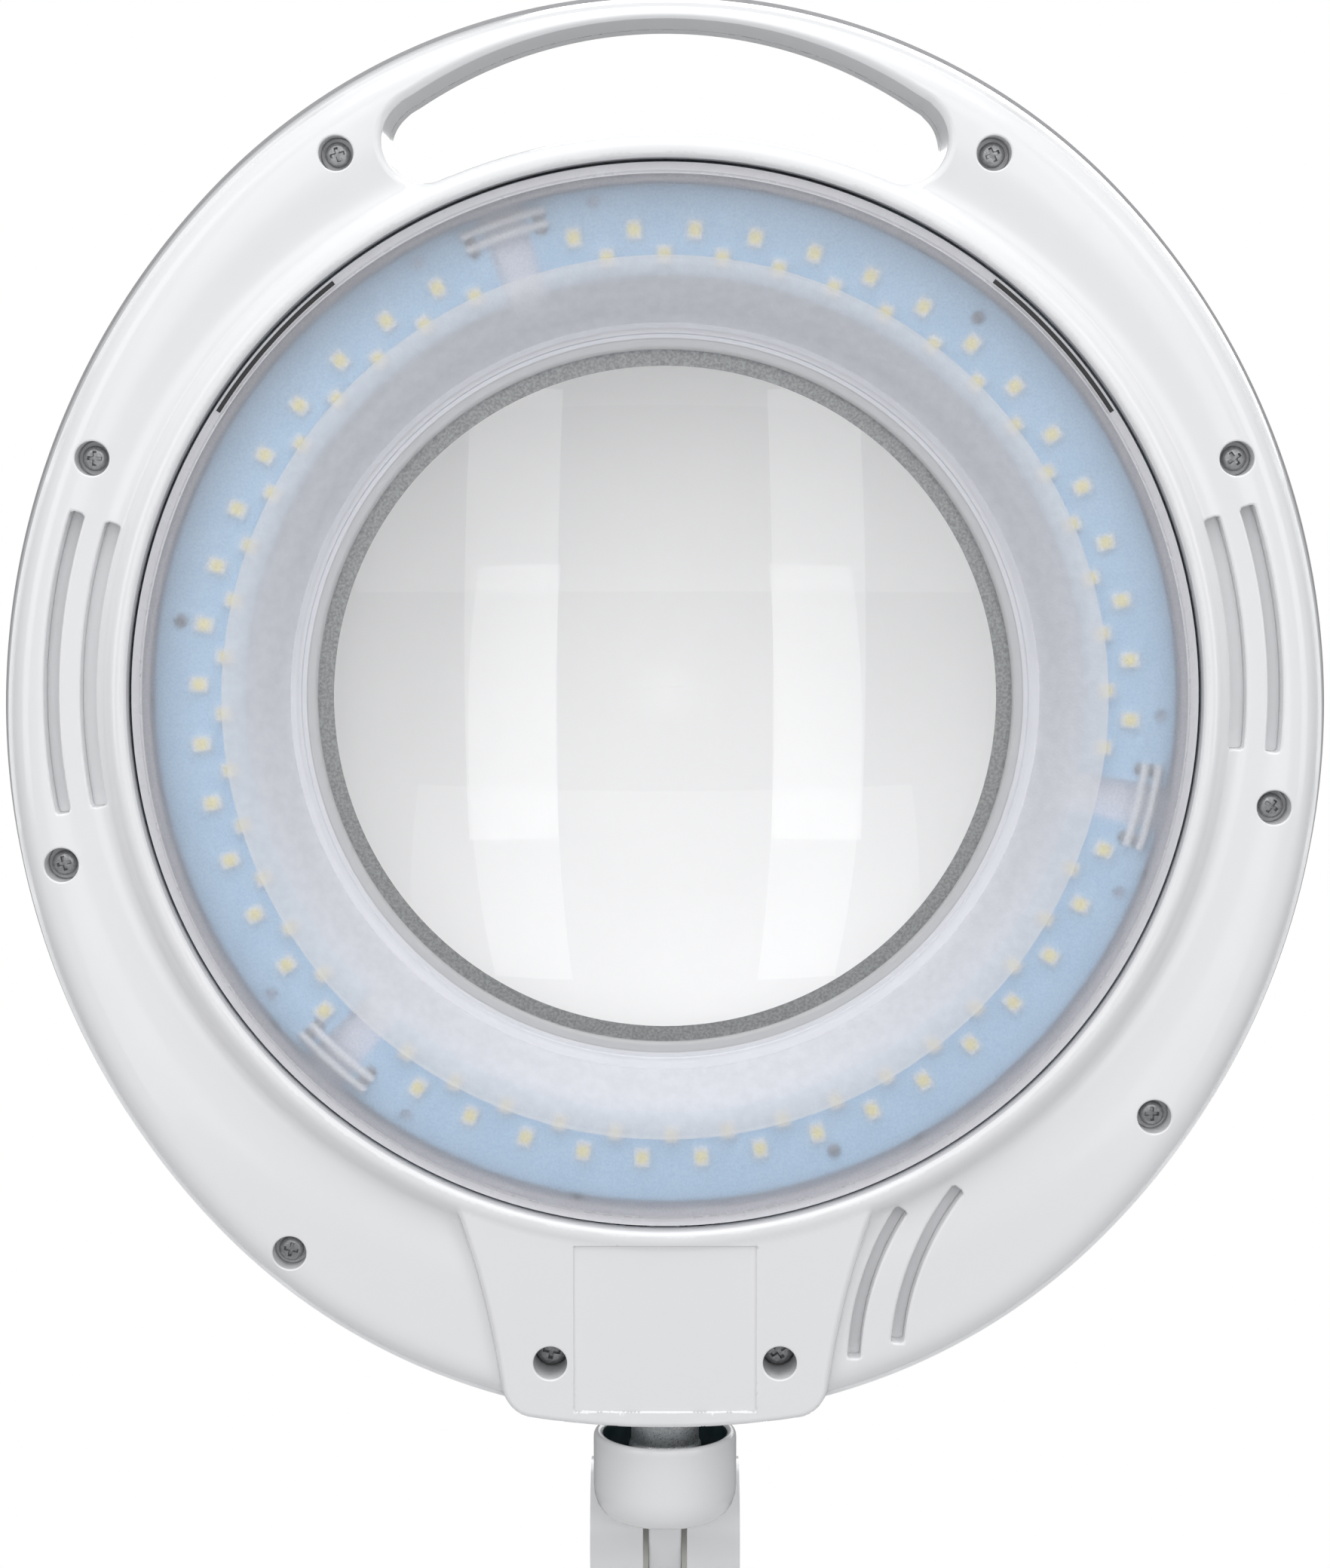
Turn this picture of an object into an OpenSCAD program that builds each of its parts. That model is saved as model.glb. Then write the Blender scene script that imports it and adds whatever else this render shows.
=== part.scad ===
// Clamp-on magnifying lamp: an oval lamp head with a glass lens inside a ring of LEDs,
// a two-section spring-balanced arm and a table clamp. Millimetres, +Z up.
// The origin is the middle of the upper jaw's contact face on the clamp.
// The head hangs in the XZ plane: its lit side faces -Y and its back faces +Y.

/* [Head] */
// Diameter of the part of the glass lens that shows
lens_d = 127; // [124:0.5:128]
// How far each face of the lens bulges
lens_sag = 6; // [4:0.5:7]
// Radius of the oval's top and bottom arcs at its widest depth
oval_end_r = 115.8; // [115.4:0.1:116.6]
// Depth of the front housing, from the bead's crest to the parting line
front_depth = 20; // [19:0.5:21]
// Depth of the thin part of the head, at the handle
rim_depth = 28; // [27.5:0.25:29]
// Depth of the head at the lens cover's seat
dome_depth = 41; // [40.5:0.25:42]
// Wall thickness of the housings
wall = 2.2; // [2:0.1:2.4]
// Outer radius of the raised bead round the diffuser
bead_r = 101.4; // [101:0.2:101.8]

/* [Lighting] */
// LEDs in each row of one board
leds_per_row = 15; // [8:1:15]
// Angle between neighbouring LEDs of one row
led_pitch = 7.4; // [6:0.1:7.4]
// Inner radius of the LED boards
board_in_r = 77; // [76:0.5:78]
// Outer radius of the LED boards
board_out_r = 93; // [92:0.5:93.5]

/* [Neck] */
// Depth of the swivel stud's axis behind the bead's crest
stud_depth = 18; // [17:0.5:19]
// Outer diameter of the swivel cup
cup_d = 27; // [26:0.5:27.5]
// Diameter of the swivel stud
stud_d = 12.8; // [12:0.2:13]

/* [Arm] */
// Distance between the pivots of each arm section
arm_len = 330; // [310:5:350]
// How far the lower arm leans back from vertical
lower_lean = 45; // [40:1:50]
// How far the upper arm leans forward from vertical
upper_lean = 52; // [48:1:56]
// Distance between the two pivots of a pair
pivot_gap = 18; // [17.5:0.25:18.5]
// Width of the square arm bars
bar_w = 8; // [7.5:0.25:8]
// Outer width of the arm covers
cover_w = 31; // [31:0.5:33]

/* [Clamp] */
// Gap between the clamp's jaws as it stands
jaw_gap = 32; // [28:1:36]
// Width of the upper jaw
jaw_w = 50; // [44:1:56]
// Diameter of the clamp screw
screw_d = 10; // [9:0.5:11]
// Diameter of the base post
post_d = 12.7; // [12:0.1:13]

/* [Hidden] */
$fn = 64;
eps = 0.01;

// Fits
run_gap = 0.05;
open_pivot_gap = 0.4;
slot_step = 0.06;

// Arm linkage, as [y, z] points
pivot_d = 6;
eye_r = 6.5;
lower_mid = 35;
upper_mid = 52;
base_c = [0, 86];
lower_dir = [sin(lower_lean), cos(lower_lean)];
upper_dir = [-sin(upper_lean), cos(upper_lean)];
lower_pair = pivot_gap * [-cos(lower_mid), sin(lower_mid)];
upper_pair = pivot_gap * [cos(upper_mid), sin(upper_mid)];
elbow_step = [4, 40];
fork_step = [-12, 44];
pivot_a0 = base_c - lower_pair / 2;
pivot_b0 = base_c + lower_pair / 2;
pivot_a1 = pivot_a0 + arm_len * lower_dir;
pivot_b1 = pivot_b0 + arm_len * lower_dir;
elbow_c = base_c + arm_len * lower_dir + elbow_step;
pivot_c0 = elbow_c - upper_pair / 2;
pivot_d0 = elbow_c + upper_pair / 2;
pivot_c1 = pivot_c0 + arm_len * upper_dir;
pivot_d1 = pivot_d0 + arm_len * upper_dir;
tilt_c = elbow_c + arm_len * upper_dir + fork_step;

// Brackets and covers
cheek_in = bar_w / 2 + 1;
cheek_out = cheek_in + 3;
cheek_r = 11;
cover_end = 30;
cover_wall = 1.8;
cover_corner = 5;
cover_side = 1.7 + cover_wall;
cover_h = pivot_gap + bar_w + 2 * cover_side;
cover_boss_r = 2.1;
cover_screw_r = 1.15;
cover_screw_y = bar_w / 2 + 0.35 + cover_boss_r;
spring_x = 9.8;
spring_r = 3.4;
spring_wire = 0.6;
spring_loop = 3;
spring_pin_r = 2;
spring_at = 190;
spring_from = 44;
spring_to = 150;
spring_pin_reach = 11.2;

// Head, placed from the tilt pivot
cup_back = 29;
tilt_drop = 168;
tilt_r = 14;
fork_half = 14.6;
lug_half = 3.2;
face_y = tilt_c[0] - cup_back - stud_depth;
lens_z = tilt_c[1] + tilt_drop;
land_d = 2.5;
bead_in_r = 97;
oval_z = -4.2;
oval_end_c = 16.4;
oval_side_c = 16.5;
oval_side_r = oval_end_r + norm([oval_side_c, oval_end_c]);
front_insets = [[land_d, 5.6, 5.5], [5.6, 12, 3.2], [12, front_depth, 1]];
wall_inset = 6;
dome_r = 98;
aperture_r = 62;
cone_top_r = 77;
lens_edge_r = lens_d / 2 + 2;
lens_plane = 11.8;
lens_edge = 3;
lens_back = lens_plane + lens_edge;
lens_ball_r = (lens_edge_r * lens_edge_r + lens_sag * lens_sag) / (2 * lens_sag);
holder_r = lens_edge_r + 0.2;
board_d = 9.5;
board_t = 1.6;
board_gaps = [108.8, 227.5, 347.5];
board_gap_half = 2.6;
handle_top_r = 82;
handle_top_z = 39.6;
handle_end = [42.5, 101.3];
handle_end_r = 8.6;
vent_w = 2.9;
vents = [
    [104.3, 162, 190.5], [110.9, 162, 190.5], [103.7, -4.7, 18.7], [110.3, -4.7, 18.7]
];
vent_tilt_r = 54;
tilted_vents = [[[42.9, -94.3], [34.9, -120]], [[53.2, -90.4], [42.9, -117.1]]];
screw_spots = [
    [-58.5, 97.9], [58.5, 97.9], [-102.8, 43.9], [102.6, 43.9],
    [-109.6, -29.6], [110.4, -19.1], [-69, -101.4], [89.5, -76]
];
screw_head_d = 3.2;
neck_screw_spots = [[-21.1, -121.5], [21.1, -121.5]];
neck_bottom = -133.8;
flank_c = [189.3, -147.3];
flank_r = 160.7;
label_w = 33.5;
label_z = [-130.7, -99.6];
button_z = -107;
button_r = 5.5;
hinge_z = 79;
hinge_d = dome_depth + 3.5;
hinge_half = 11;

// Swivel, heights from the lens axis
cup_top = -139.2;
cup_bottom = -155.5;
cup_in_r = cup_d / 2 - 1.8;
collar_top = -141.6;
collar_bottom = -145;
washer_t = 1;
cup_floor = collar_bottom - washer_t;
shank_r = 4;
nut_top = -150;
block_z = -126.5;
block_h = 14;

// Clamp
rubber_t = 2;
jaw_t = 8;
jaw_front = -25;
spine_y = [27, 35];
lower_jaw = [-78, -66];
pad_r = 17;
pad_t = 6;
hub_r = 7;
tip_r = 4;
knob_top = -108;
knob_h = 18;
bush_r = 8;
boss_top = 44;
bracket_z = 46.3;
gland_z = bracket_z + 10;

// Colours
white = [0.93, 0.93, 0.94];
steel = [0.72, 0.73, 0.75];
dark = [0.25, 0.25, 0.27];
frosted = [0.86, 0.88, 0.93];
green = [0.35, 0.5, 0.4];

// ---------------------------------------------------------------- helpers

// Moves a shape that is given from the lens axis and the bead's crest into the head's place
module head() { translate([0, face_y, lens_z]) children(); }

// Extrudes an outline drawn in x and z from depth d0 to depth d1
module deep(d0, d1) { translate([0, d1, 0]) rotate([90, 0, 0]) linear_extrude(d1 - d0) children(); }

// Turns a profile of radius and depth round the lens axis
module spin() { rotate([-90, 0, 0]) rotate_extrude($fn = 128) children(); }

// Turns a profile of radius and depth through part of a circle, anticlockwise from a0 to a1
module sector(a0, a1) {
    rotate([-90, 0, 0]) rotate_extrude(angle = a1 - a0, start = -a1, $fn = 128) children();
}

// A round bar along the lens axis at x, z from depth d0 to depth d1
module post(at, r, d0, d1) {
    translate([at[0], d0, at[1]]) rotate([-90, 0, 0]) cylinder(r = r, h = d1 - d0);
}

// A curved slot with round ends, which are slightly narrower than the slot
module arc_slot(r, a0, a1, w, d0, d1) {
    sector(a0, a1) translate([r - w / 2, d0]) square([w, d1 - d0]);
    for (a = [a0, a1]) post(r * [cos(a), sin(a)], w / 2 - slot_step, d0, d1);
}

// A round pin along X through a [y, z] point
module cross_pin(at, r, x0, x1) {
    translate([x0, at[0], at[1]]) rotate([0, 90, 0]) cylinder(r = r, h = x1 - x0);
}

// Extrudes an outline drawn in y and z from x0 to x1
module across(x0, x1) {
    translate([x0, 0, 0]) rotate([90, 0, 90]) linear_extrude(x1 - x0) children();
}

// Copies a shape to both sides of the arm's middle plane
module both_sides() { for (s = [0, 1]) mirror([s, 0, 0]) children(); }

module outline_of(points, r) {
    hull() for (p = points) translate(p) circle(r, $fn = 32);
}

// The head's oval, moved inwards by inset
module oval(inset) {
    reach = oval_end_r - inset;
    band = oval_end_c + reach * oval_end_c / norm([oval_side_c, oval_end_c]);
    translate([0, oval_z]) {
        for (s = [-1, 1]) translate([0, s * oval_end_c]) circle(reach, $fn = 128);
        intersection() {
            translate([-oval_side_c, 0]) circle(oval_side_r - inset, $fn = 128);
            translate([oval_side_c, 0]) circle(oval_side_r - inset, $fn = 128);
            square([2 * oval_end_r + 40, 2 * band], center = true);
        }
    }
}

// The hand-hole's outline, grown by grow
module handle_outline(grow) {
    difference() {
        intersection() {
            translate([0, handle_top_z]) circle(handle_top_r + grow, $fn = 128);
            translate([-handle_end[0], 0]) square([2 * handle_end[0], 130]);
        }
        circle(bead_r - grow, $fn = 128);
    }
    for (s = [-1, 1]) translate([s * handle_end[0], handle_end[1]]) circle(handle_end_r + grow);
}

// The neck pad: concave flanks and a slightly bowed lower edge
module neck_outline(inset) {
    difference() {
        intersection() {
            translate([-38.1 + inset, -136]) square([2 * (38.1 - inset), 48]);
            translate([0, neck_bottom + 160 - inset]) circle(160 - 2 * inset, $fn = 128);
        }
        for (s = [-1, 1]) translate([s * flank_c[0], flank_c[1]]) circle(flank_r + inset, $fn = 128);
    }
}

// ---------------------------------------------------------------- head shells

module front_housing() {
    color(white) head() difference() {
        union() {
            difference() {
                for (step = front_insets) deep(step[0], step[1]) oval(step[2]);
                deep(land_d + wall, front_depth + eps) oval(wall_inset);
            }
            deep(land_d, front_depth) intersection() {
                handle_outline(wall);
                oval(wall_inset - 1);
            }
            spin() translate([bead_in_r, 0]) square([bead_r - bead_in_r, 10]);
            deep(0.4, land_d + wall) neck_outline(0);
            deep(land_d, front_depth) difference() {
                neck_outline(0);
                neck_outline(wall);
            }
            for (p = screw_spots) post(p, 4.6, land_d + 0.5, front_depth);
            for (p = neck_screw_spots) post(p, 4.6, land_d + 0.5, 12.4);
        }
        spin() square([bead_in_r, front_depth + 1]);
        deep(-1, front_depth + 1) handle_outline(0);
        for (v = vents) arc_slot(v[0], v[1], v[2], vent_w, land_d - 1, land_d + wall + eps);
        for (v = tilted_vents) tilted_slot(v[0], v[1]);
        for (p = screw_spots) {
            post(p, 3.1, land_d - 1, land_d + screw_head_d + 2.2);
            post(p, 1.6, 0, front_depth + 1);
        }
        for (p = neck_screw_spots) {
            post(p, 3.1, -1, 11);
            post(p, 2.1, 0, front_depth + 1);
        }
        deep(0, 0.9) translate([-label_w / 2, label_z[0]]) square([label_w, label_z[1] - label_z[0]]);
        translate([0, stud_depth, neck_bottom - 6]) cylinder(r = stud_d / 2 + 0.6, h = 16);
    }
}

// A gently curved slot from point a to point b
module tilted_slot(a, b) {
    mid = (a + b) / 2;
    half = norm(a - b) / 2;
    side = [b[1] - a[1], a[0] - b[0]] / (2 * half);
    centre = mid - side * sqrt(vent_tilt_r * vent_tilt_r - half * half);
    from = atan2(a[1] - centre[1], a[0] - centre[0]);
    to = atan2(b[1] - centre[1], b[0] - centre[0]);
    a0 = (from + 360) % 360;
    a1 = (to + 360) % 360;
    translate([centre[0], 0, centre[1]])
        arc_slot(vent_tilt_r, min(a0, a1), max(a0, a1), 2.4, land_d - 1, land_d + wall + eps);
}

module back_housing() {
    color(white) head() difference() {
        union() {
            difference() {
                union() {
                    deep(front_depth + 0.3, rim_depth - 3) oval(0);
                    deep(rim_depth - 3, rim_depth) oval(3);
                }
                deep(front_depth, rim_depth - wall) oval(wall_inset);
                spin() square([dome_r, dome_depth]);
            }
            deep(front_depth + 0.3, rim_depth) intersection() {
                handle_outline(wall);
                oval(wall_inset - 1);
            }
            spin() polygon([
                [dome_r + 2, rim_depth - wall], [dome_r + 2, rim_depth], [dome_r - 4, 34],
                [dome_r - 12, dome_depth - 1.6], [76, dome_depth], [aperture_r, dome_depth],
                [aperture_r, lens_back + 5], [aperture_r + wall, lens_back + 5],
                [aperture_r + wall, dome_depth - wall], [76, dome_depth - wall],
                [dome_r - 13.2, dome_depth - 3.6], [dome_r - 6, 33], [dome_r - 2, rim_depth - wall]
            ]);
            deep(front_depth + 0.3, rim_depth) difference() {
                neck_outline(0);
                neck_outline(wall);
            }
            for (p = screw_spots) post(p, 4.2, front_depth + 0.3, rim_depth - 1);
            for (s = [-1, 1]) hinge_lug(s * (hinge_half - 2), 4);
        }
        spin() square([aperture_r, dome_depth + 1]);
        deep(front_depth - 1, rim_depth + 1) handle_outline(0);
        for (p = screw_spots) post(p, 1.25, front_depth, rim_depth - 3);
        post([0, button_z], button_r + 0.3, front_depth, rim_depth + 1);
        cross_pin([hinge_d, hinge_z], 1.5, -hinge_half - 1, hinge_half + 1);
        translate([0, stud_depth, neck_bottom - 6]) cylinder(r = stud_d / 2 + 0.6, h = 16);
        for (i = [-3:3])
            arc_slot(89, 90 + i * 5 - 1 + 180, 90 + i * 5 + 1 + 180, 2, 30, dome_depth + 1);
    }
}

// A hinge lug on the dome that carries the cover's pin
module hinge_lug(x, w) {
    translate([x - w / 2, 0, 0]) difference() {
        union() {
            cross_pin([hinge_d, hinge_z], 3.2, 0, w);
            translate([0, dome_depth - 3, hinge_z - 3.2]) cube([w, hinge_d - dome_depth + 3, 6.4]);
        }
        cross_pin([hinge_d, hinge_z], 1.5, -1, w + 1);
    }
}

module lens_cover() {
    hub_w = 2 * (hinge_half - 2) - 4 - 0.6;
    color(white) head() difference() {
        union() {
            spin() polygon([
                [0, dome_depth + 4.4], [40, dome_depth + 3.9], [66, dome_depth + 2.4],
                [71, dome_depth + 0.6], [69, dome_depth + 0.4], [64, dome_depth + 0.6],
                [40, dome_depth + 2.1], [0, dome_depth + 2.6]
            ]);
            translate([-hub_w / 2, 0, 0]) cross_pin([hinge_d, hinge_z], 3, 0, hub_w);
            translate([-hub_w / 2, dome_depth + 0.8, 64]) cube([hub_w, 1.8, hinge_z - 64]);
            translate([-9, dome_depth + 0.6, -75]) cube([18, 2, 8]);
        }
        cross_pin([hinge_d, hinge_z], 1.5 + run_gap, -20, 20);
    }
}

module cover_hinge_pin() {
    color(steel) head() cross_pin([hinge_d, hinge_z], 1.5, -hinge_half, hinge_half);
}

// ---------------------------------------------------------------- lens and lighting

module diffuser() {
    color(frosted) head() difference() {
        spin() polygon([
            [bead_in_r - 0.5, 4], [94.6, 4], [94.2, 2.4], [80, 2.1], [cone_top_r, 2.8],
            [75.4, 4], [68.2, 9.2], [67.2, 9.3], [66.4, 10], [64.6, 10.2], [lens_d / 2, 10.8],
            [lens_d / 2, 11.3], [65.4, 11.7], [66.6, lens_plane], [67.4, 11], [68.8, 10.6],
            [76.6, 5.2], [78, 3.9],
            [80.2, 3.4], [92.8, 3.8], [93.2, 5.6], [bead_in_r - 0.5, 5.6]
        ]);
        for (a = [[33.1, 52.1], [128.2, 146.9]])
            sector(a[0], a[1]) translate([95.1, 3]) square([1, 4]);
    }
}

// One LED board between two of the three gaps
module led_board(i) {
    a0 = board_gaps[i] + board_gap_half;
    a1 = board_gaps[(i + 1) % 3] + (i == 2 ? 360 : 0) - board_gap_half;
    color(white) head() difference() {
        sector(a0, a1) translate([board_in_r, board_d]) square([board_out_r - board_in_r, board_t]);
        for (a = [a0 + 8, a1 - 8]) post(90.6 * [cos(a), sin(a)], 1.2, board_d - 1, board_d + 3);
    }
}

module led_board_1() { led_board(0); }
module led_board_2() { led_board(1); }
module led_board_3() { led_board(2); }

// Two staggered rows of LEDs on each board
module led_chips() {
    rows = [80.5, 85];
    color([0.95, 0.9, 0.6]) head() for (i = [0:2], row = [0, 1], k = [0:leds_per_row - 1]) {
        mid = board_gaps[i] + 60 + (row - 0.5) * led_pitch / 2;
        a = mid + (k - (leds_per_row - 1) / 2) * led_pitch;
        rotate([0, -a, 0]) translate([rows[row] - 1.75, board_d - 0.8, -1.4]) cube([3.5, 0.8, 2.8]);
    }
}

// Pairs of insulated leads that bridge the gaps between the boards
module board_leads() {
    color("red") head() for (a = board_gaps, r = [88.5, 91])
        sector(a - 5, a + 5) translate([r, board_d - 0.75]) circle(0.7);
}

// The ring plate that carries the boards, with the collar that centres the lens
module led_carrier() {
    plate_d = board_d + board_t + 0.1;
    color(white) head() difference() {
        spin() polygon([
            [holder_r + 2, plate_d], [95.6, plate_d], [95.6, plate_d + 1.5], [holder_r + 2, plate_d + 1.5],
            [holder_r + 2, lens_back + 4.4], [holder_r, lens_back + 4.4], [holder_r, lens_plane + 0.1],
            [holder_r + 2, lens_plane + 0.1]
        ]);
        for (a = [20:40:340]) post(94 * [cos(a), sin(a)], 0.9, plate_d - 1, plate_d + 3);
    }
}

module lens() {
    ball_d = lens_plane - lens_sag + lens_ball_r;
    color([0.8, 0.9, 0.95]) head() intersection() {
        post([0, 0], lens_edge_r, lens_plane - lens_sag - 1, lens_back + lens_sag + 1);
        translate([0, ball_d, 0]) sphere(lens_ball_r, $fn = 256);
        translate([0, lens_back + lens_sag - lens_ball_r, 0]) sphere(lens_ball_r, $fn = 256);
    }
}

module lens_gasket() {
    color(dark) head() spin() polygon([
        [lens_edge_r, lens_back + 0.05], [lens_edge_r, lens_back + 1.1],
        [lens_edge_r - 2.3, lens_back + 1.1], [lens_edge_r - 2.3, lens_back + 0.55]
    ]);
}

module lens_ring() {
    color(white) head() spin() polygon([
        [62.2, lens_back + 1.15], [lens_edge_r, lens_back + 1.15], [lens_edge_r, lens_back + 4.4],
        [64, lens_back + 4.4], [62.2, lens_back + 3.4]
    ]);
}

module driver_board() {
    color(green) head() sector(196, 248) translate([71, 16.6]) square([21, 1.6]);
}

// Capacitor, transformer, bridge and chip of the LED driver
module driver_parts() {
    color(dark) head() {
        post(82 * [cos(202), sin(202)], 4, 18.2, 27);
        post(82 * [cos(212), sin(212)], 4, 18.2, 26);
        for (part = [[222, 6, 8], [232, 5, 4.5], [241, 4, 2.4]])
            rotate([0, -part[0], 0]) translate([82 - part[1], 18.2, -part[1] / 2 - 1])
                cube([2 * part[1], part[2], part[1] + 2]);
    }
}

module switch_body() {
    color(dark) head() difference() {
        translate([-7, 16.5, button_z - 5]) cube([14, 7.5, 10]);
        post([0, button_z], 2.1, 18, 27);
    }
}

// Push button: a round cap and the stem that works the switch
module power_button() {
    color([0.8, 0.8, 0.82]) head() {
        post([0, button_z], button_r, rim_depth - 1.8, rim_depth + 2.2);
        post([0, button_z], 2, 20.5, rim_depth - 1.8);
    }
}

// ---------------------------------------------------------------- screws in the head

// A pan-head screw with a cross recess, driven towards +Y
module cross_screw(at, head_r, shank_r, d, length) {
    difference() {
        union() {
            post(at, head_r, d, d + 2);
            post(at, shank_r, d + 2, d + 2 + length);
        }
        for (turn = [0, 90]) translate([at[0], d + 0.5, at[1]]) rotate([0, turn + 20, 0])
            cube([0.8, 2, 2.6], center = true);
    }
}

module housing_screws() {
    color(dark) head() for (p = screw_spots) cross_screw(p, 2.6, 1.2, land_d + screw_head_d + 0.1, 16);
}

module neck_screws() {
    color(dark) head() for (p = neck_screw_spots) cross_screw(p, 2.8, 1.95, 9, 10);
}

// ---------------------------------------------------------------- swivel and tilt

module pivot_block() {
    color(steel) head() difference() {
        translate([-26, 12.5, block_z]) cube([52, 12, block_h]);
        translate([0, stud_depth, block_z - 1]) cylinder(r = stud_d / 2 - 1.8, h = block_h + 2);
        for (p = neck_screw_spots) post(p, 1.95, 12, 26);
    }
}

module swivel_stud() {
    color(steel) head() translate([0, stud_depth, 0]) {
        translate([0, 0, collar_top]) cylinder(r = stud_d / 2, h = block_z - collar_top);
        translate([0, 0, block_z]) cylinder(r = stud_d / 2 - 1.8, h = block_h);
        translate([0, 0, collar_bottom]) cylinder(r = stud_d / 2 + 0.45, h = collar_top - collar_bottom);
        translate([0, 0, cup_bottom + 0.3]) cylinder(r = shank_r, h = collar_bottom - cup_bottom - 0.3);
    }
}

module stud_nut() {
    color(steel) head() translate([0, stud_depth, cup_bottom + 0.4]) difference() {
        cylinder(r = 7.5, h = nut_top - cup_bottom - 0.5, $fn = 6);
        translate([0, 0, -1]) cylinder(r = shank_r, h = 10);
    }
}

module stud_washer() {
    color(steel) head() translate([0, stud_depth, cup_floor]) difference() {
        cylinder(r = 10.4, h = washer_t);
        translate([0, 0, -1]) cylinder(r = shank_r + run_gap, h = 3);
    }
}

// The cup that the stud turns in, with the lug that reaches back to the tilt bolt
module swivel_cup() {
    tilt_at = [stud_depth + cup_back, -tilt_drop];
    color(white) head() difference() {
        union() {
            translate([0, stud_depth, 0]) {
                translate([0, 0, cup_bottom + 3]) cylinder(r = cup_d / 2, h = cup_top - cup_bottom - 3);
                translate([0, 0, cup_bottom]) cylinder(r1 = cup_d / 2 - 2.4, r2 = cup_d / 2, h = 3);
            }
            across(-lug_half, lug_half) hull() {
                translate(tilt_at) circle(11);
                translate([stud_depth + 9, cup_bottom + 0.6]) square([2, 9]);
            }
        }
        translate([0, stud_depth, cup_floor]) cylinder(r = cup_in_r, h = 20);
        translate([0, stud_depth, cup_bottom - 1]) cylinder(r = shank_r + run_gap, h = 20);
        translate([0, stud_depth, cup_bottom - 12]) cylinder(r = 8.2, h = nut_top - cup_bottom + 12);
        cross_pin(tilt_at, shank_r + run_gap, -20, 20);
    }
}

// The white end of the upper arm: a fork for the cup's lug above, cheeks for the bars below
module arm_fork() {
    bar_top = (pivot_c1[1] + pivot_d1[1]) / 2 + 20;
    lug_floor = tilt_c[1] - 16;
    slot = lug_half + 1.1;
    color(white) difference() {
        union() {
            cross_pin(tilt_c, tilt_r, -fork_half, fork_half);
            across(-fork_half, fork_half) hull() {
                translate(tilt_c) circle(tilt_r - 0.2, $fn = 48);
                outline_of([pivot_c1, pivot_d1], cheek_r + 0.8);
            }
        }
        translate([-slot, tilt_c[0] - 40, lug_floor]) cube([2 * slot, 80, 60]);
        cross_pin([tilt_c[0], lug_floor], 0.5, -slot, slot);
        translate([-cheek_in, tilt_c[0] - 40, bar_top - 80]) cube([2 * cheek_in, 100, 80]);
        cross_pin(tilt_c, shank_r, -20, 20);
        both_sides() cross_pin(tilt_c, 8, fork_half - 5.4, 20);
        for (p = [pivot_c1, pivot_d1]) {
            cross_pin(p, pivot_d / 2, -20, 20);
            both_sides() cross_pin(p, 5, fork_half - 1.6, 20);
        }
    }
}

module tilt_bolt() {
    color(steel) {
        cross_pin(tilt_c, shank_r, -fork_half + 5.4, fork_half - 1.6);
        cross_pin(tilt_c, 6.5, -fork_half + 1.4, -fork_half + 5.4);
    }
}

module tilt_nut() {
    color(steel) difference() {
        translate([fork_half - 5.4, tilt_c[0], tilt_c[1]]) rotate([0, 90, 0]) cylinder(r = 7.4, h = 3.8, $fn = 6);
        cross_pin(tilt_c, shank_r, 0, 20);
    }
}

// Friction discs between the lug and the fork
module tilt_washers() {
    color(dark) both_sides() difference() {
        cross_pin(tilt_c, 10.5, lug_half + run_gap, lug_half + 1.1);
        cross_pin(tilt_c, shank_r + run_gap, 0, 20);
    }
}

// Press-in plugs that hide the ends of the tilt bolt
module bolt_caps() {
    color(white) both_sides() cross_pin(tilt_c, 8, fork_half - 1.2, fork_half);
}

// A pivot pin with a flat head at each end
module pivot_pin(at, reach, head_r) {
    cross_pin(at, pivot_d / 2, -reach, reach);
    both_sides() cross_pin(at, head_r, reach, reach + 1);
}

module fork_pins() {
    color(steel) for (p = [pivot_c1, pivot_d1]) pivot_pin(p, fork_half - 1.6, 4.8);
}

// ---------------------------------------------------------------- arm sections

// Puts a shape drawn upright at the origin on a pivot and leans it; forward is +1 or -1
module leaned(at, lean, forward) {
    translate([0, at[0], at[1]]) rotate([forward * lean, 0, 0]) children();
}

// Square tube with a round eye at each end
module bar(top_gap) {
    tube_w = bar_w / 2;
    difference() {
        union() {
            translate([-tube_w, -tube_w, 0]) cube([bar_w, bar_w, arm_len]);
            for (z = [0, arm_len]) cross_pin([0, z], eye_r, -tube_w, tube_w);
        }
        translate([-tube_w + 1.2, -tube_w + 1.2, 14]) cube([bar_w - 2.4, bar_w - 2.4, arm_len - 28]);
        cross_pin([0, 0], pivot_d / 2 + run_gap, -10, 10);
        cross_pin([0, arm_len], pivot_d / 2 + top_gap, -10, 10);
    }
}

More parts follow.
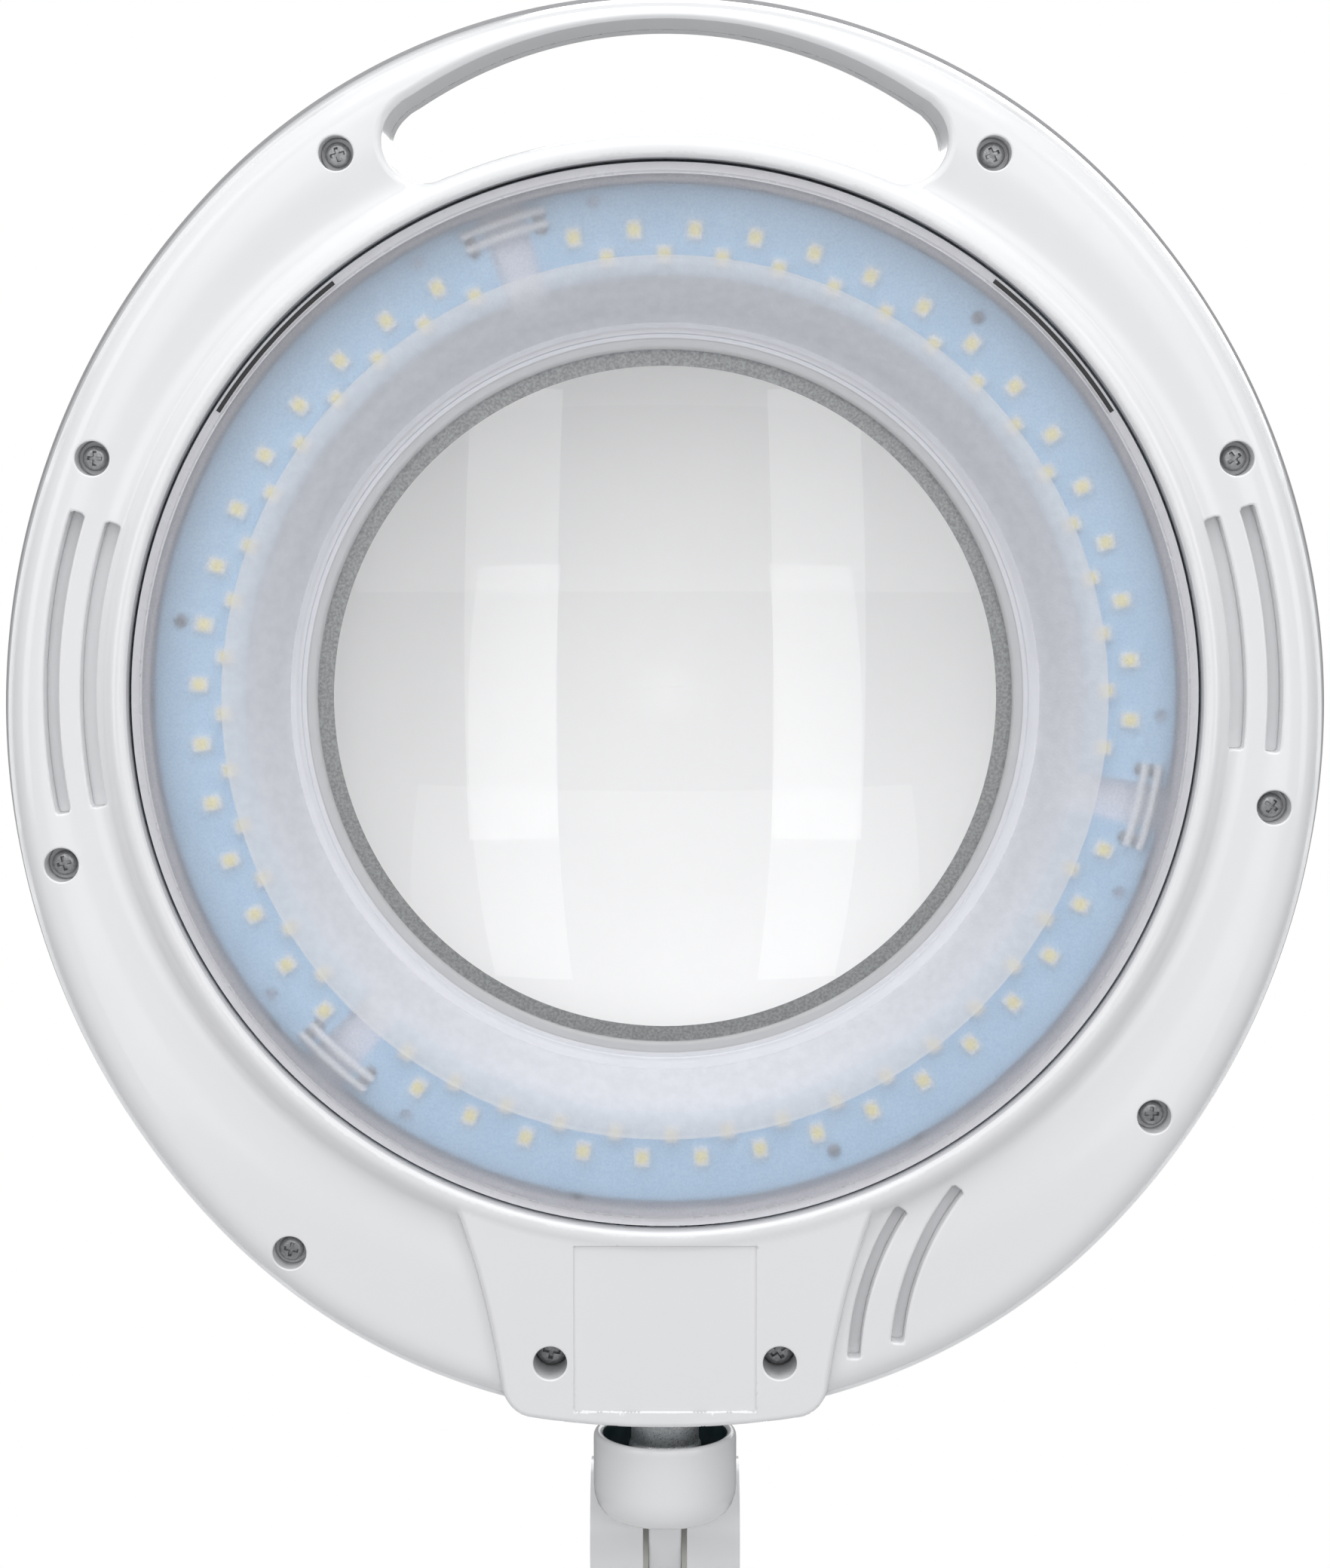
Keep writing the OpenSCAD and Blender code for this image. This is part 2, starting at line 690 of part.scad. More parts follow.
// Half of a closed cover; its other half is the mirror image. The link lies on the side
// that link_side names, +1 or -1 in y.
module cover_half(link_side) {
    mid_y = link_side * pivot_gap / 2;
    boss_y = link_side * cover_screw_y;
    inner_w = cover_w - 2 * cover_wall;
    inner_h = cover_h - 2 * cover_wall;
    difference() {
        translate([0, mid_y, cover_end]) linear_extrude(arm_len - 2 * cover_end) difference() {
            rounded_box(cover_w, cover_h, cover_corner);
            rounded_box(inner_w, inner_h, cover_corner - cover_wall);
            translate([-cover_w - 1, -cover_h]) square([cover_w + 1, 2 * cover_h]);
        }
        for (z = cover_screw_heights()) cross_pin([boss_y, z], cover_screw_r + 0.1, 0, 40);
        for (z = cover_screw_heights()) cross_pin([boss_y, z], 3, cover_w / 2 - 0.9, 40);
    }
    for (z = cover_screw_heights()) difference() {
        cross_pin([boss_y, z], cover_boss_r, 0.05, cover_w / 2 - cover_wall);
        cross_pin([boss_y, z], cover_screw_r + 0.1, -1, 40);
    }
}

function cover_screw_heights() = [arm_len - cover_end - 12, arm_len - cover_end - 90, cover_end + 132];

module rounded_box(w, h, r) {
    for (x = [-1, 1], y = [-1, 1]) translate([x * (w / 2 - r), y * (h / 2 - r)]) circle(r);
    square([w - 2 * r, h], center = true);
    square([w, h - 2 * r], center = true);
}

module cover_screws(link_side) {
    for (z = cover_screw_heights()) {
        at = [link_side * cover_screw_y, z];
        cross_pin(at, cover_screw_r, -cover_w / 2 + 1, cover_w / 2 - 0.9);
        both_sides() cross_pin(at, 2.9, cover_w / 2 - 0.9, cover_w / 2 - 0.1);
    }
}

// A close-wound tension spring as a ribbed sleeve with a hook loop round each pin
module spring(from, to) {
    reach = norm(to - from);
    lean = atan2(from[0] - to[0], to[1] - from[1]);
    pitch = 5.3;
    turns = floor((spring_to - spring_from) / pitch);
    translate([0, from[0], from[1]]) rotate([lean, 0, 0]) {
        translate([0, 0, spring_from]) rotate_extrude() {
            translate([spring_r - 1.2, 0]) square([0.9, turns * pitch]);
            for (k = [0:turns - 1]) translate([spring_r - 0.7, (k + 0.5) * pitch]) circle(0.7, $fn = 16);
        }
        translate([0, 0, spring_from - 1]) cylinder(r = spring_r - 0.5, h = 2);
        translate([0, 0, spring_from + turns * pitch - 1]) cylinder(r = spring_r - 0.5, h = 2);
        translate([0, 0, spring_loop]) cylinder(r = spring_wire, h = spring_from - spring_loop);
        translate([0, 0, spring_from + turns * pitch])
            cylinder(r = spring_wire, h = reach - spring_loop - spring_from - turns * pitch);
        for (z = [0, reach]) translate([0, 0, z]) rotate([0, 90, 0]) rotate_extrude()
            translate([spring_loop, 0]) circle(spring_wire, $fn = 16);
    }
}

module springs(from, to) {
    for (x = [-spring_x, spring_x]) translate([x, 0, 0]) spring(from, to);
}

module spring_pin() {
    cross_pin([0, spring_at], spring_pin_r, -spring_pin_reach, spring_pin_reach);
    both_sides() cross_pin([0, spring_at], 3.4, spring_pin_reach, spring_pin_reach + 1);
}

module anchored_bar() {
    difference() {
        bar(run_gap);
        cross_pin([0, spring_at], spring_pin_r, -20, 20);
    }
}

module upper_bar() { color(steel) leaned(pivot_c0, upper_lean, 1) anchored_bar(); }
module upper_link_bar() { color(steel) leaned(pivot_d0, upper_lean, 1) bar(open_pivot_gap); }
module upper_cover_right() { color(white) leaned(pivot_c0, upper_lean, 1) cover_half(1); }
module upper_cover_left() { mirror([1, 0, 0]) upper_cover_right(); }
module upper_cover_screws() { color(steel) leaned(pivot_c0, upper_lean, 1) cover_screws(1); }
module upper_spring_pin() { color(steel) leaned(pivot_c0, upper_lean, 1) spring_pin(); }
module upper_springs() { color(steel) springs(pivot_d0, pivot_c0 + spring_at * upper_dir); }

module lower_bar() { color(steel) leaned(pivot_a0, lower_lean, -1) anchored_bar(); }
module lower_link_bar() { color(steel) leaned(pivot_b0, lower_lean, -1) bar(open_pivot_gap); }
module lower_cover_right() { color(white) leaned(pivot_a0, lower_lean, -1) cover_half(-1); }
module lower_cover_left() { mirror([1, 0, 0]) lower_cover_right(); }
module lower_cover_screws() { color(steel) leaned(pivot_a0, lower_lean, -1) cover_screws(-1); }
module lower_spring_pin() { color(steel) leaned(pivot_a0, lower_lean, -1) spring_pin(); }
module lower_springs() { color(steel) springs(pivot_b0, pivot_a0 + spring_at * lower_dir); }

// ---------------------------------------------------------------- elbow

elbow_mid = (pivot_b1 + pivot_c0) / 2 + [8, -2];
elbow_points = [pivot_a1, pivot_b1, pivot_c0, pivot_d0];

module elbow_bracket() {
    color(steel) difference() {
        union() {
            both_sides() across(cheek_in, cheek_out) outline_of(elbow_points, cheek_r);
            cross_pin(elbow_mid, 4, -cheek_in - 1, cheek_in + 1);
        }
        for (p = elbow_points) cross_pin(p, pivot_d / 2, -20, 20);
    }
}

module elbow_pins() {
    color(steel) {
        for (p = [pivot_a1, pivot_b1, pivot_c0]) pivot_pin(p, cheek_out, 4.6);
        pivot_pin(pivot_d0, cheek_out, 3);
        both_sides() cross_pin(pivot_d0, spring_pin_r, cheek_out + 1, spring_pin_reach);
    }
}

// White caps over both sides of the elbow
module elbow_caps() {
    color(white) both_sides() {
        across(cheek_out + 3.6, cover_w / 2 - 0.1) outline_of(elbow_points, cheek_r + 1.2);
        cross_pin(elbow_mid, 3.4, cheek_out, cheek_out + 3.7);
    }
}

// ---------------------------------------------------------------- base

module base_bracket() {
    color(white) difference() {
        union() {
            translate([0, 0, bracket_z]) cylinder(r = 14, h = 6);
            translate([-cheek_out, -12, bracket_z + 5]) cube([2 * cheek_out, 24, 8]);
            both_sides() across(cheek_in, cheek_out) hull() {
                outline_of([pivot_a0, pivot_b0], cheek_r);
                translate([-12, bracket_z + 5]) square([24, 8]);
            }
        }
        for (p = [pivot_a0, pivot_b0]) cross_pin(p, pivot_d / 2, -20, 20);
        translate([0, 0, bracket_z - 1]) cylinder(r = post_d / 2 - 1.2, h = 11);
        translate([0, 11, gland_z]) rotate([-90, 0, 0]) cylinder(r = 3, h = 5);
    }
}

module base_pins() {
    color(steel) {
        pivot_pin(pivot_a0, cheek_out, 4.6);
        pivot_pin(pivot_b0, cheek_out, 3);
        both_sides() cross_pin(pivot_b0, spring_pin_r, cheek_out + 1, spring_pin_reach);
    }
}

module base_post() {
    color(steel) {
        translate([0, 0, 14]) cylinder(r = post_d / 2, h = bracket_z - 14);
        translate([0, 0, bracket_z]) cylinder(r = post_d / 2 - 1.2, h = 8);
    }
}

// Blank rubber gland where a supply cord leaves the arm
module cord_gland() {
    color(dark) translate([0, 0, gland_z]) rotate([-90, 0, 0]) {
        translate([0, 0, 11]) cylinder(r = 3, h = 1);
        translate([0, 0, 12]) cylinder(r1 = 3.8, r2 = 3.2, h = 5);
    }
}

// ---------------------------------------------------------------- clamp

module clamp_frame() {
    top = rubber_t + jaw_t;
    color(white) difference() {
        union() {
            translate([-jaw_w / 2, jaw_front, rubber_t]) cube([jaw_w, spine_y[1] - jaw_front, jaw_t]);
            translate([-19, spine_y[0], lower_jaw[0]]) cube([38, spine_y[1] - spine_y[0], top - lower_jaw[0]]);
            translate([-15, 0, lower_jaw[0]]) cube([30, spine_y[1], lower_jaw[1] - lower_jaw[0]]);
            translate([0, 0, lower_jaw[0]]) cylinder(r = 15, h = lower_jaw[1] - lower_jaw[0]);
            translate([0, 0, top - 1]) cylinder(r = 14, h = boss_top - top + 1);
            for (s = [-1, 1]) translate([s * 12 - 2.5, 8, top - 1]) cube([5, 20, 14]);
        }
        translate([0, 0, 12]) cylinder(r = bush_r, h = 60);
        translate([0, 0, lower_jaw[0] - 1]) cylinder(r = screw_d / 2 + run_gap, h = 20);
    }
}

module jaw_rubber() {
    color(dark) translate([-jaw_w / 2 + 3, jaw_front + 2, 0]) cube([jaw_w - 6, spine_y[0] - jaw_front - 4, rubber_t]);
}

module post_bush() {
    color(dark) translate([0, 0, 12]) difference() {
        union() {
            cylinder(r = bush_r, h = boss_top - 12);
            translate([0, 0, boss_top - 12]) cylinder(r = 13, h = 2);
        }
        translate([0, 0, 1.5]) cylinder(r = post_d / 2 + run_gap, h = 60);
    }
}

pad_top = -jaw_gap - rubber_t;

module pressure_pad() {
    color(steel) difference() {
        union() {
            translate([0, 0, pad_top - pad_t]) cylinder(r = pad_r, h = pad_t);
            translate([0, 0, pad_top - pad_t - 8]) cylinder(r = hub_r, h = 9);
        }
        translate([0, 0, pad_top - pad_t - 9]) cylinder(r = tip_r + run_gap, h = 12);
    }
}

module pad_rubber() { color(dark) translate([0, 0, pad_top]) cylinder(r = pad_r, h = rubber_t); }

module clamp_screw() {
    neck_z = pad_top - pad_t - 8.5;
    color(steel) {
        translate([0, 0, knob_top - 2]) cylinder(r = screw_d / 2, h = neck_z - knob_top + 2);
        translate([0, 0, neck_z]) cylinder(r = tip_r, h = 11);
    }
}

// Five-lobed hand knob
module clamp_knob() {
    color(dark) difference() {
        translate([0, 0, knob_top - knob_h]) {
            cylinder(r = 15, h = knob_h);
            for (k = [0:4]) rotate([0, 0, 72 * k]) translate([14, 0, 0]) cylinder(r = 7, h = knob_h - 3);
        }
        translate([0, 0, knob_top - 2]) cylinder(r = screw_d / 2, h = 10);
    }
}

// ---------------------------------------------------------------- nodes

front_housing();
back_housing();
diffuser();
led_board_1();
led_board_2();
led_board_3();
led_chips();
board_leads();
led_carrier();
lens();
lens_gasket();
lens_ring();
housing_screws();
neck_screws();
driver_board();
driver_parts();
switch_body();
power_button();
lens_cover();
cover_hinge_pin();
pivot_block();
swivel_stud();
stud_nut();
swivel_cup();
stud_washer();
arm_fork();
fork_pins();
tilt_bolt();
tilt_nut();
tilt_washers();
bolt_caps();
upper_bar();
upper_link_bar();
upper_cover_left();
upper_cover_right();
upper_cover_screws();
upper_springs();
upper_spring_pin();
elbow_bracket();
elbow_pins();
elbow_caps();
lower_bar();
lower_link_bar();
lower_cover_left();
lower_cover_right();
lower_cover_screws();
lower_springs();
lower_spring_pin();
base_bracket();
base_pins();
base_post();
cord_gland();
post_bush();
clamp_frame();
jaw_rubber();
pressure_pad();
pad_rubber();
clamp_screw();
clamp_knob();
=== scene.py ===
"""The visual model of a clamp-on magnifying lamp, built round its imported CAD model.

Shapes are drawn in millimetres. Those of the head are given as x, depth behind the
bead's crest, and height above the lens axis; head_point() puts them in the row frame.
"""

from math import acos, atan2, cos, degrees, hypot, pi, radians, sin, sqrt, tan

import bmesh
import bpy
import numpy as np
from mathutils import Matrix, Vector, geometry, kdtree
from mathutils.geometry import delaunay_2d_cdt


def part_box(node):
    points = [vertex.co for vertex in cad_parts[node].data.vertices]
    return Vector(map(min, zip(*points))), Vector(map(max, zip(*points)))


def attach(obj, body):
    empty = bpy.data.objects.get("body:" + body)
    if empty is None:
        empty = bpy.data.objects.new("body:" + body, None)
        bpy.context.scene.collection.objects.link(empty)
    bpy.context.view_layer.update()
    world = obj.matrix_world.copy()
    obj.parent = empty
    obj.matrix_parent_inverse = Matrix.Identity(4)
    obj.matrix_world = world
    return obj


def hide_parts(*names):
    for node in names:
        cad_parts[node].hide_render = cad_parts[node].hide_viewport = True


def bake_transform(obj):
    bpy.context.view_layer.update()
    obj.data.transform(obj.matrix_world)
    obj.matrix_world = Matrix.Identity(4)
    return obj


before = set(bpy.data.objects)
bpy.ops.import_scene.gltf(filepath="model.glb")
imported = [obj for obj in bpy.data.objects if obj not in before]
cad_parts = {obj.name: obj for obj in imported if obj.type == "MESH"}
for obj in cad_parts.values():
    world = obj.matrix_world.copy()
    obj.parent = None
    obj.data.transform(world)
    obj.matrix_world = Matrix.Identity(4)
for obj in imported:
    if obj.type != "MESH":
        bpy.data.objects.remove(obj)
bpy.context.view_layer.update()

MM = 0.001
FACE_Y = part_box("front_housing")[0].y / MM
LENS_Z = (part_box("lens")[0].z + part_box("lens")[1].z) / 2 / MM


def node_box(node):
    """A CAD node's lowest and highest corners in millimetres."""
    low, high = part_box(node)
    return low / MM, high / MM


def head_point(x, depth, z):
    """A point of the head in the row frame, in millimetres."""
    return (x, FACE_Y + depth, LENS_Z + z)


# ---- meshes


class Form:
    """Vertices in millimetres with optional normals, and faces with a material index."""

    def __init__(self):
        self.verts, self.faces, self.slots, self.normals = [], [], [], []

    def add(self, verts, faces, slot=0, normals=None):
        base = len(self.verts)
        self.verts.extend(tuple(v) for v in verts)
        self.faces.extend(tuple(base + i for i in face) for face in faces)
        self.slots.extend([slot] * len(faces))
        self.normals.extend(normals if normals is not None else [None] * len(verts))
        return base

    def join(self, other):
        base = len(self.verts)
        self.verts.extend(tuple(v) for v in other.verts)
        self.faces.extend(tuple(base + i for i in face) for face in other.faces)
        self.slots.extend(other.slots)
        self.normals.extend(other.normals)
        return self

    def loft(self, loops, slot=0, first_cap=True, last_cap=True, closed=False):
        """Joins closed loops of equal length by quads, with a cap at each end or closed on itself."""
        n = len(loops[0])
        base = self.add([p for loop in loops for p in loop], [], slot)
        pairs = list(zip(range(len(loops) - 1), range(1, len(loops))))
        if closed:
            pairs.append((len(loops) - 1, 0))
        faces = [(a * n + i, a * n + (i + 1) % n, b * n + (i + 1) % n, b * n + i) for a, b in pairs
            for i in range(n)]
        if first_cap and not closed:
            faces.append(tuple(reversed(range(n))))
        if last_cap and not closed:
            faces.append(tuple((len(loops) - 1) * n + i for i in range(n)))
        self.faces.extend(tuple(base + i for i in face) for face in faces)
        self.slots.extend([slot] * len(faces))
        return self


def lathe(profile, steps=96, slots=None, full=True, place=None):
    """Turns a closed profile of (radius, height) points round the z axis."""
    form = Form()
    place = place or (lambda x, y, z: (x, y, z))
    n = len(profile)
    for k in range(steps):
        a = 2 * pi * k / steps
        c, s = cos(a), sin(a)
        form.verts.extend(place(r * c, r * s, h) for r, h in profile)
    form.normals = [None] * len(form.verts)
    for k in range(steps):
        k1 = (k + 1) % steps
        for i in range(n if full else n - 1):
            j = (i + 1) % n
            quad = [k * n + i, k * n + j, k1 * n + j, k1 * n + i]
            if profile[i][0] < 1e-6:
                quad[3] = quad[0] = i
            if profile[j][0] < 1e-6:
                quad[1] = quad[2] = j
            face = tuple(dict.fromkeys(quad))
            if len(face) > 2:
                form.faces.append(face)
                form.slots.append(slots[i] if slots else 0)
    return form


def smooth_line(points, per=6):
    """A Catmull-Rom curve through open points."""
    pts = [Vector(p) for p in points]
    pts = [2 * pts[0] - pts[1]] + pts + [2 * pts[-1] - pts[-2]]
    out = []
    for i in range(1, len(pts) - 2):
        p0, p1, p2, p3 = pts[i - 1 : i + 3]
        for k in range(per):
            t = k / per
            out.append(0.5 * (2 * p1 + (p2 - p0) * t + (2 * p0 - 5 * p1 + 4 * p2 - p3) * t * t
                + (3 * p1 - p0 - 3 * p2 + p3) * t ** 3))
    return [tuple(p) for p in out + [pts[-2]]]


def rounded(points, radii, per=5):
    """A closed outline of (x, y) corners with each corner rounded by its own radius."""
    out = []
    n = len(points)
    for i, p in enumerate(points):
        a, b, c = Vector(points[i - 1]), Vector(p), Vector(points[(i + 1) % n])
        r = radii[i] if hasattr(radii, "__len__") else radii
        u, v = (a - b).normalized(), (c - b).normalized()
        half = acos(max(-1, min(1, u.dot(v)))) / 2
        if r <= 0 or half > 1.5:
            out.append(tuple(b))
            continue
        back = min(r / tan(half), 0.49 * (a - b).length, 0.49 * (c - b).length)
        r = back * tan(half)
        centre = b + (u + v).normalized() * (r / sin(half))
        s, e = b + u * back - centre, b + v * back - centre
        a0, turn = atan2(s.y, s.x), atan2(s.x * e.y - s.y * e.x, s.dot(e))
        for k in range(per + 1):
            t = a0 + turn * k / per
            out.append((centre.x + r * cos(t), centre.y + r * sin(t)))
    return out


def resampled(loop, count):
    """A closed polyline with count points at equal steps along it."""
    p = np.vstack([loop, loop[:1]])
    run = np.concatenate([[0], np.cumsum(np.hypot(*np.diff(p, axis=0).T))])
    at = np.linspace(0, run[-1], count, endpoint=False)
    return np.column_stack([np.interp(at, run, p[:, 0]), np.interp(at, run, p[:, 1])])


def out_normals(loop):
    """Unit normals of a closed anticlockwise loop, pointing away from what it encloses."""
    d = np.roll(loop, -1, 0) - np.roll(loop, 1, 0)
    n = np.column_stack([d[:, 1], -d[:, 0]])
    return n / np.linalg.norm(n, axis=1)[:, None]


def contour(sd, centre, count, reach=400.0, step=0.4):
    """The loop where a signed distance turns positive, seen from a point inside it."""
    a = np.linspace(0, 2 * np.pi, 12 * count, endpoint=False)
    u = np.column_stack([np.cos(a), np.sin(a)])
    low, high = np.zeros(len(a)), np.full(len(a), float(reach))
    r = np.zeros(len(a))
    found = np.zeros(len(a), bool)
    while not found.all() and r.max() < reach:
        r = r + step
        now = (sd(*(centre + u * r[:, None]).T) > 0) & ~found
        low[now], high[now] = r[now] - step, r[now]
        found |= now
    for _ in range(22):
        mid = (low + high) / 2
        outside = sd(*(centre + u * mid[:, None]).T) > 0
        high, low = np.where(outside, mid, high), np.where(outside, low, mid)
    return resampled(centre + u * high[:, None], count)


def circle_loop(centre, r, count):
    a = np.linspace(0, 2 * np.pi, count, endpoint=False)
    return np.column_stack([centre[0] + r * np.cos(a), centre[1] + r * np.sin(a)])


def arc_slot_loop(centre, r, a0, a1, w, corner=1.1):
    """A curved slot's loop with rounded corners; angles in degrees, anticlockwise."""
    arc = np.radians(np.linspace(a0, a1, 40))
    outer = [(centre[0] + (r + w / 2) * cos(a), centre[1] + (r + w / 2) * sin(a)) for a in arc]
    inner = [(centre[0] + (r - w / 2) * cos(a), centre[1] + (r - w / 2) * sin(a)) for a in arc]
    radii = [corner] + [0] * 38 + [corner] * 2 + [0] * 38 + [corner]
    loop = rounded(outer + inner[::-1], radii, 6)
    length = abs(radians(a1 - a0)) * r * 2 + 2 * w
    return resampled(np.array(loop), max(48, int(length / 0.7)))


def nearest(points):
    """A function that gives the index and distance of the point nearest to (x, z)."""
    tree = kdtree.KDTree(len(points))
    for i, p in enumerate(points):
        tree.insert((p[0], p[1], 0), i)
    tree.balance()
    return lambda p: tree.find((p[0], p[1], 0))[1:]


def spaced(points, placed, gap):
    """The points that lie at least gap from every placed point."""
    find = nearest(placed)
    return points[[find(p)[1] >= gap for p in points]]


def lip_depth(s, r):
    """How far a rounded edge of radius r has dropped at distance s from its hole."""
    t = np.clip(r - s, 0, r)
    return r - np.sqrt(np.maximum(r * r - t * t, 0))


def inside(points, loop):
    """Which points lie inside a closed loop, by counting crossings."""
    hit = np.zeros(len(points), bool)
    low, high = loop.min(0), loop.max(0)
    near = np.flatnonzero(((points > low) & (points < high)).all(1))
    x, y = points[near].T
    odd = np.zeros(len(near), bool)
    for (x0, y0), (x1, y1) in zip(loop, np.roll(loop, -1, 0)):
        if y0 != y1:
            odd ^= ((y0 > y) != (y1 > y)) & (x < x0 + (y - y0) * (x1 - x0) / (y1 - y0))
    hit[near] = odd
    return hit


def triangulated(points, loops):
    """Delaunay triangles of points inside the first loop and outside the others.

    loops are index lists into points. Returns output points, triangles and, for each
    output point, the index of the point it came from.
    """
    points = np.asarray(points)
    edges = [(a, b) for loop in loops for a, b in zip(loop, loop[1:] + loop[:1])]
    flat, _, faces, origins, _, _ = delaunay_2d_cdt([Vector(p) for p in points], edges, [], 0, 1e-7)
    flat, faces = np.array([tuple(p) for p in flat]), np.array(faces)
    middle = flat[faces].mean(1)
    keep = inside(middle, points[loops[0]])
    for loop in loops[1:]:
        keep &= ~inside(middle, points[loop])
    faces = faces[keep]
    used = np.unique(faces)
    new = np.zeros(len(flat), int)
    new[used] = np.arange(len(used))
    return flat[used], new[faces].tolist(), [origins[i][0] for i in used]


class Hole:
    """A hole in a shell: its loop, its rounded edge, and where its wall ends.

    kind is "vent" (the wall ends at the inner sheet), "open" (it runs to the seam with a
    wall round it, whose other side is at grown) or "pocket" (it ends in a floor).
    """

    def __init__(self, loop, lip, kind="vent", floor=None, grown=None):
        self.loop, self.lip, self.kind, self.floor, self.grown = loop, lip, kind, floor, grown


def half_shell(outline, holes, surface, rows, sheet_d, seam_d, wall, grid=2.6, seam_slot=0):
    """A moulded half shell as a closed form, with its outer surface towards low depth.

    outline is the loop at the seam, surface(x, z) the depth of the outer surface, and rows
    are extra points that follow its curves. The result's verts are (x, depth, z).
    """
    form = Form()
    fixed, loops = [outline], [list(range(len(outline)))]
    for hole in holes:
        start = sum(len(p) for p in fixed)
        loops.append(list(range(start, start + len(hole.loop))))
        fixed.append(hole.loop)
    lip_s = [np.full(len(outline), np.inf)] + [np.zeros(len(h.loop)) for h in holes]
    lip_of = [np.full(len(outline), -1)] + [np.full(len(h.loop), k) for k, h in enumerate(holes)]
    for k, hole in enumerate(holes):
        n = out_normals(hole.loop)
        for share in (0.04, 0.16, 0.36, 0.64, 1.0, 1.3):
            fixed.append(hole.loop + n * hole.lip * share)
            lip_s.append(np.full(len(n), hole.lip * share))
            lip_of.append(np.full(len(n), k))
    points, s, of = np.vstack(fixed), np.concatenate(lip_s), np.concatenate(lip_of)
    edges = np.vstack([h.loop for h in holes])
    lip_at = np.concatenate([np.full(len(h.loop), h.lip) for h in holes])
    near_edge = nearest(edges)

    def clear_of_lips(p):
        i, far = near_edge(p)
        return far > 1.35 * lip_at[i] + 0.1

    for extra, gap in rows + [(None, grid * 0.55)]:
        if extra is None:
            xs = np.arange(-130, 130, grid)
            extra = np.array([(x, z + (i % 2) * grid / 2) for i, x in enumerate(xs)
                for z in np.arange(-145, 130, grid)])
        extra = spaced(extra, points, gap)
        extra = extra[[clear_of_lips(p) for p in extra]]
        points = np.vstack([points, extra])
        s = np.concatenate([s, np.full(len(extra), np.inf)])
        of = np.concatenate([of, np.full(len(extra), -1)])
    flat, triangles, source = triangulated(points, loops)
    flat, source = np.array(flat), np.array(source)
    s, of = s[source], of[source]
    x, z = flat.T
    depth = surface(x, z)
    e = 0.02
    slope = np.column_stack([surface(x + e, z) - surface(x - e, z),
        surface(x, z + e) - surface(x, z - e)]) / (2 * e)
    for k, hole in enumerate(holes):
        near = (of == k) & (s < hole.lip)
        if not near.any():
            continue
        find, n = nearest(hole.loop), out_normals(hole.loop)
        away = np.array([n[find(p)[0]] for p in flat[near]])
        t = (hole.lip - s[near]) / hole.lip
        depth[near] += lip_depth(s[near], hole.lip)
        slope[near] -= away * (t / np.sqrt(np.maximum(1 - t * t, 1e-4)))[:, None]
    normal = np.column_stack([slope[:, 0], -np.ones(len(x)), slope[:, 1]])
    normal /= np.linalg.norm(normal, axis=1)[:, None]
    base = form.add(np.column_stack([x, depth, z]), triangles, normals=[tuple(v) for v in normal])
    where = {int(o): i for i, o in enumerate(source)}

    def band(upper, lower, normals, slot=0):
        """Quads from a ring of vertices to a new ring, which is returned."""
        new = form.add(lower, [], normals=[tuple(v) for v in normals])
        ring = [new + i for i in range(len(lower))]
        n = len(ring)
        for i in range(n):
            j = (i + 1) % n
            form.faces.append((upper[i], ring[i], ring[j], upper[j]))
            form.slots.append(slot)
        return ring

    def level(loop, d):
        return [(p[0], d, p[1]) for p in loop]

    def fan(ring, facing):
        """Closes a flat ring with triangles that face low (-1) or high (1) depth."""
        at = [Vector((form.verts[i][0], form.verts[i][2])) for i in ring]
        for a, b, c in geometry.delaunay_2d_cdt(at, [], [list(range(len(at)))], 1, 1e-7)[2]:
            flat_normal = (at[b] - at[a]).cross(at[c] - at[a])
            turn = (flat_normal > 0) == (facing < 0)
            form.faces.append((ring[a], ring[b], ring[c]) if turn else (ring[a], ring[c], ring[b]))
            form.slots.append(0)

    # outer wall, seam ring and inner wall
    n = out_normals(outline)
    n3 = [(a, 0.0, b) for a, b in n]
    rim = [base + where[i] for i in loops[0]]
    inner_loop = outline - n * wall
    ring = band(rim, level(outline, seam_d), n3)
    # the seam ring takes slot seam_slot, which on the back shell holds painted shade for the parting line
    ring = band(ring, level(outline - n * 0.06, seam_d), [(0, 1, 0)] * len(n), seam_slot)
    ring = band(ring, level(inner_loop, seam_d), [(0, 1, 0)] * len(n), seam_slot)
    sheet_rings = [(inner_loop, band(ring, level(inner_loop, sheet_d), [(0, 1, 0)] * len(n)))]
    for hole, loop in zip(holes, loops[1:]):
        n = out_normals(hole.loop)
        n3 = [(-a, 0.0, -b) for a, b in n]
        ring = [base + where[i] for i in loop][::-1]
        back = hole.loop[::-1]
        if hole.kind == "vent":
            sheet_rings.append((back, band(ring, level(back, sheet_d), n3[::-1])))
        elif hole.kind == "open":
            grown = (hole.loop + n * wall if hole.grown is None else hole.grown)[::-1]
            ring = band(ring, level(back, seam_d), n3[::-1])
            ring = band(ring, level(grown, seam_d), n3[::-1])
            sheet_rings.append((grown, band(ring, level(grown, sheet_d), [(0, 1, 0)] * len(n))))
        else:
            ring = band(ring, level(back, hole.floor), n3[::-1])
            ring = band(ring, level((hole.loop - n * 0.2)[::-1], hole.floor + 0.02),
                [(0, -1, 0)] * len(n))
            fan(ring, -1)
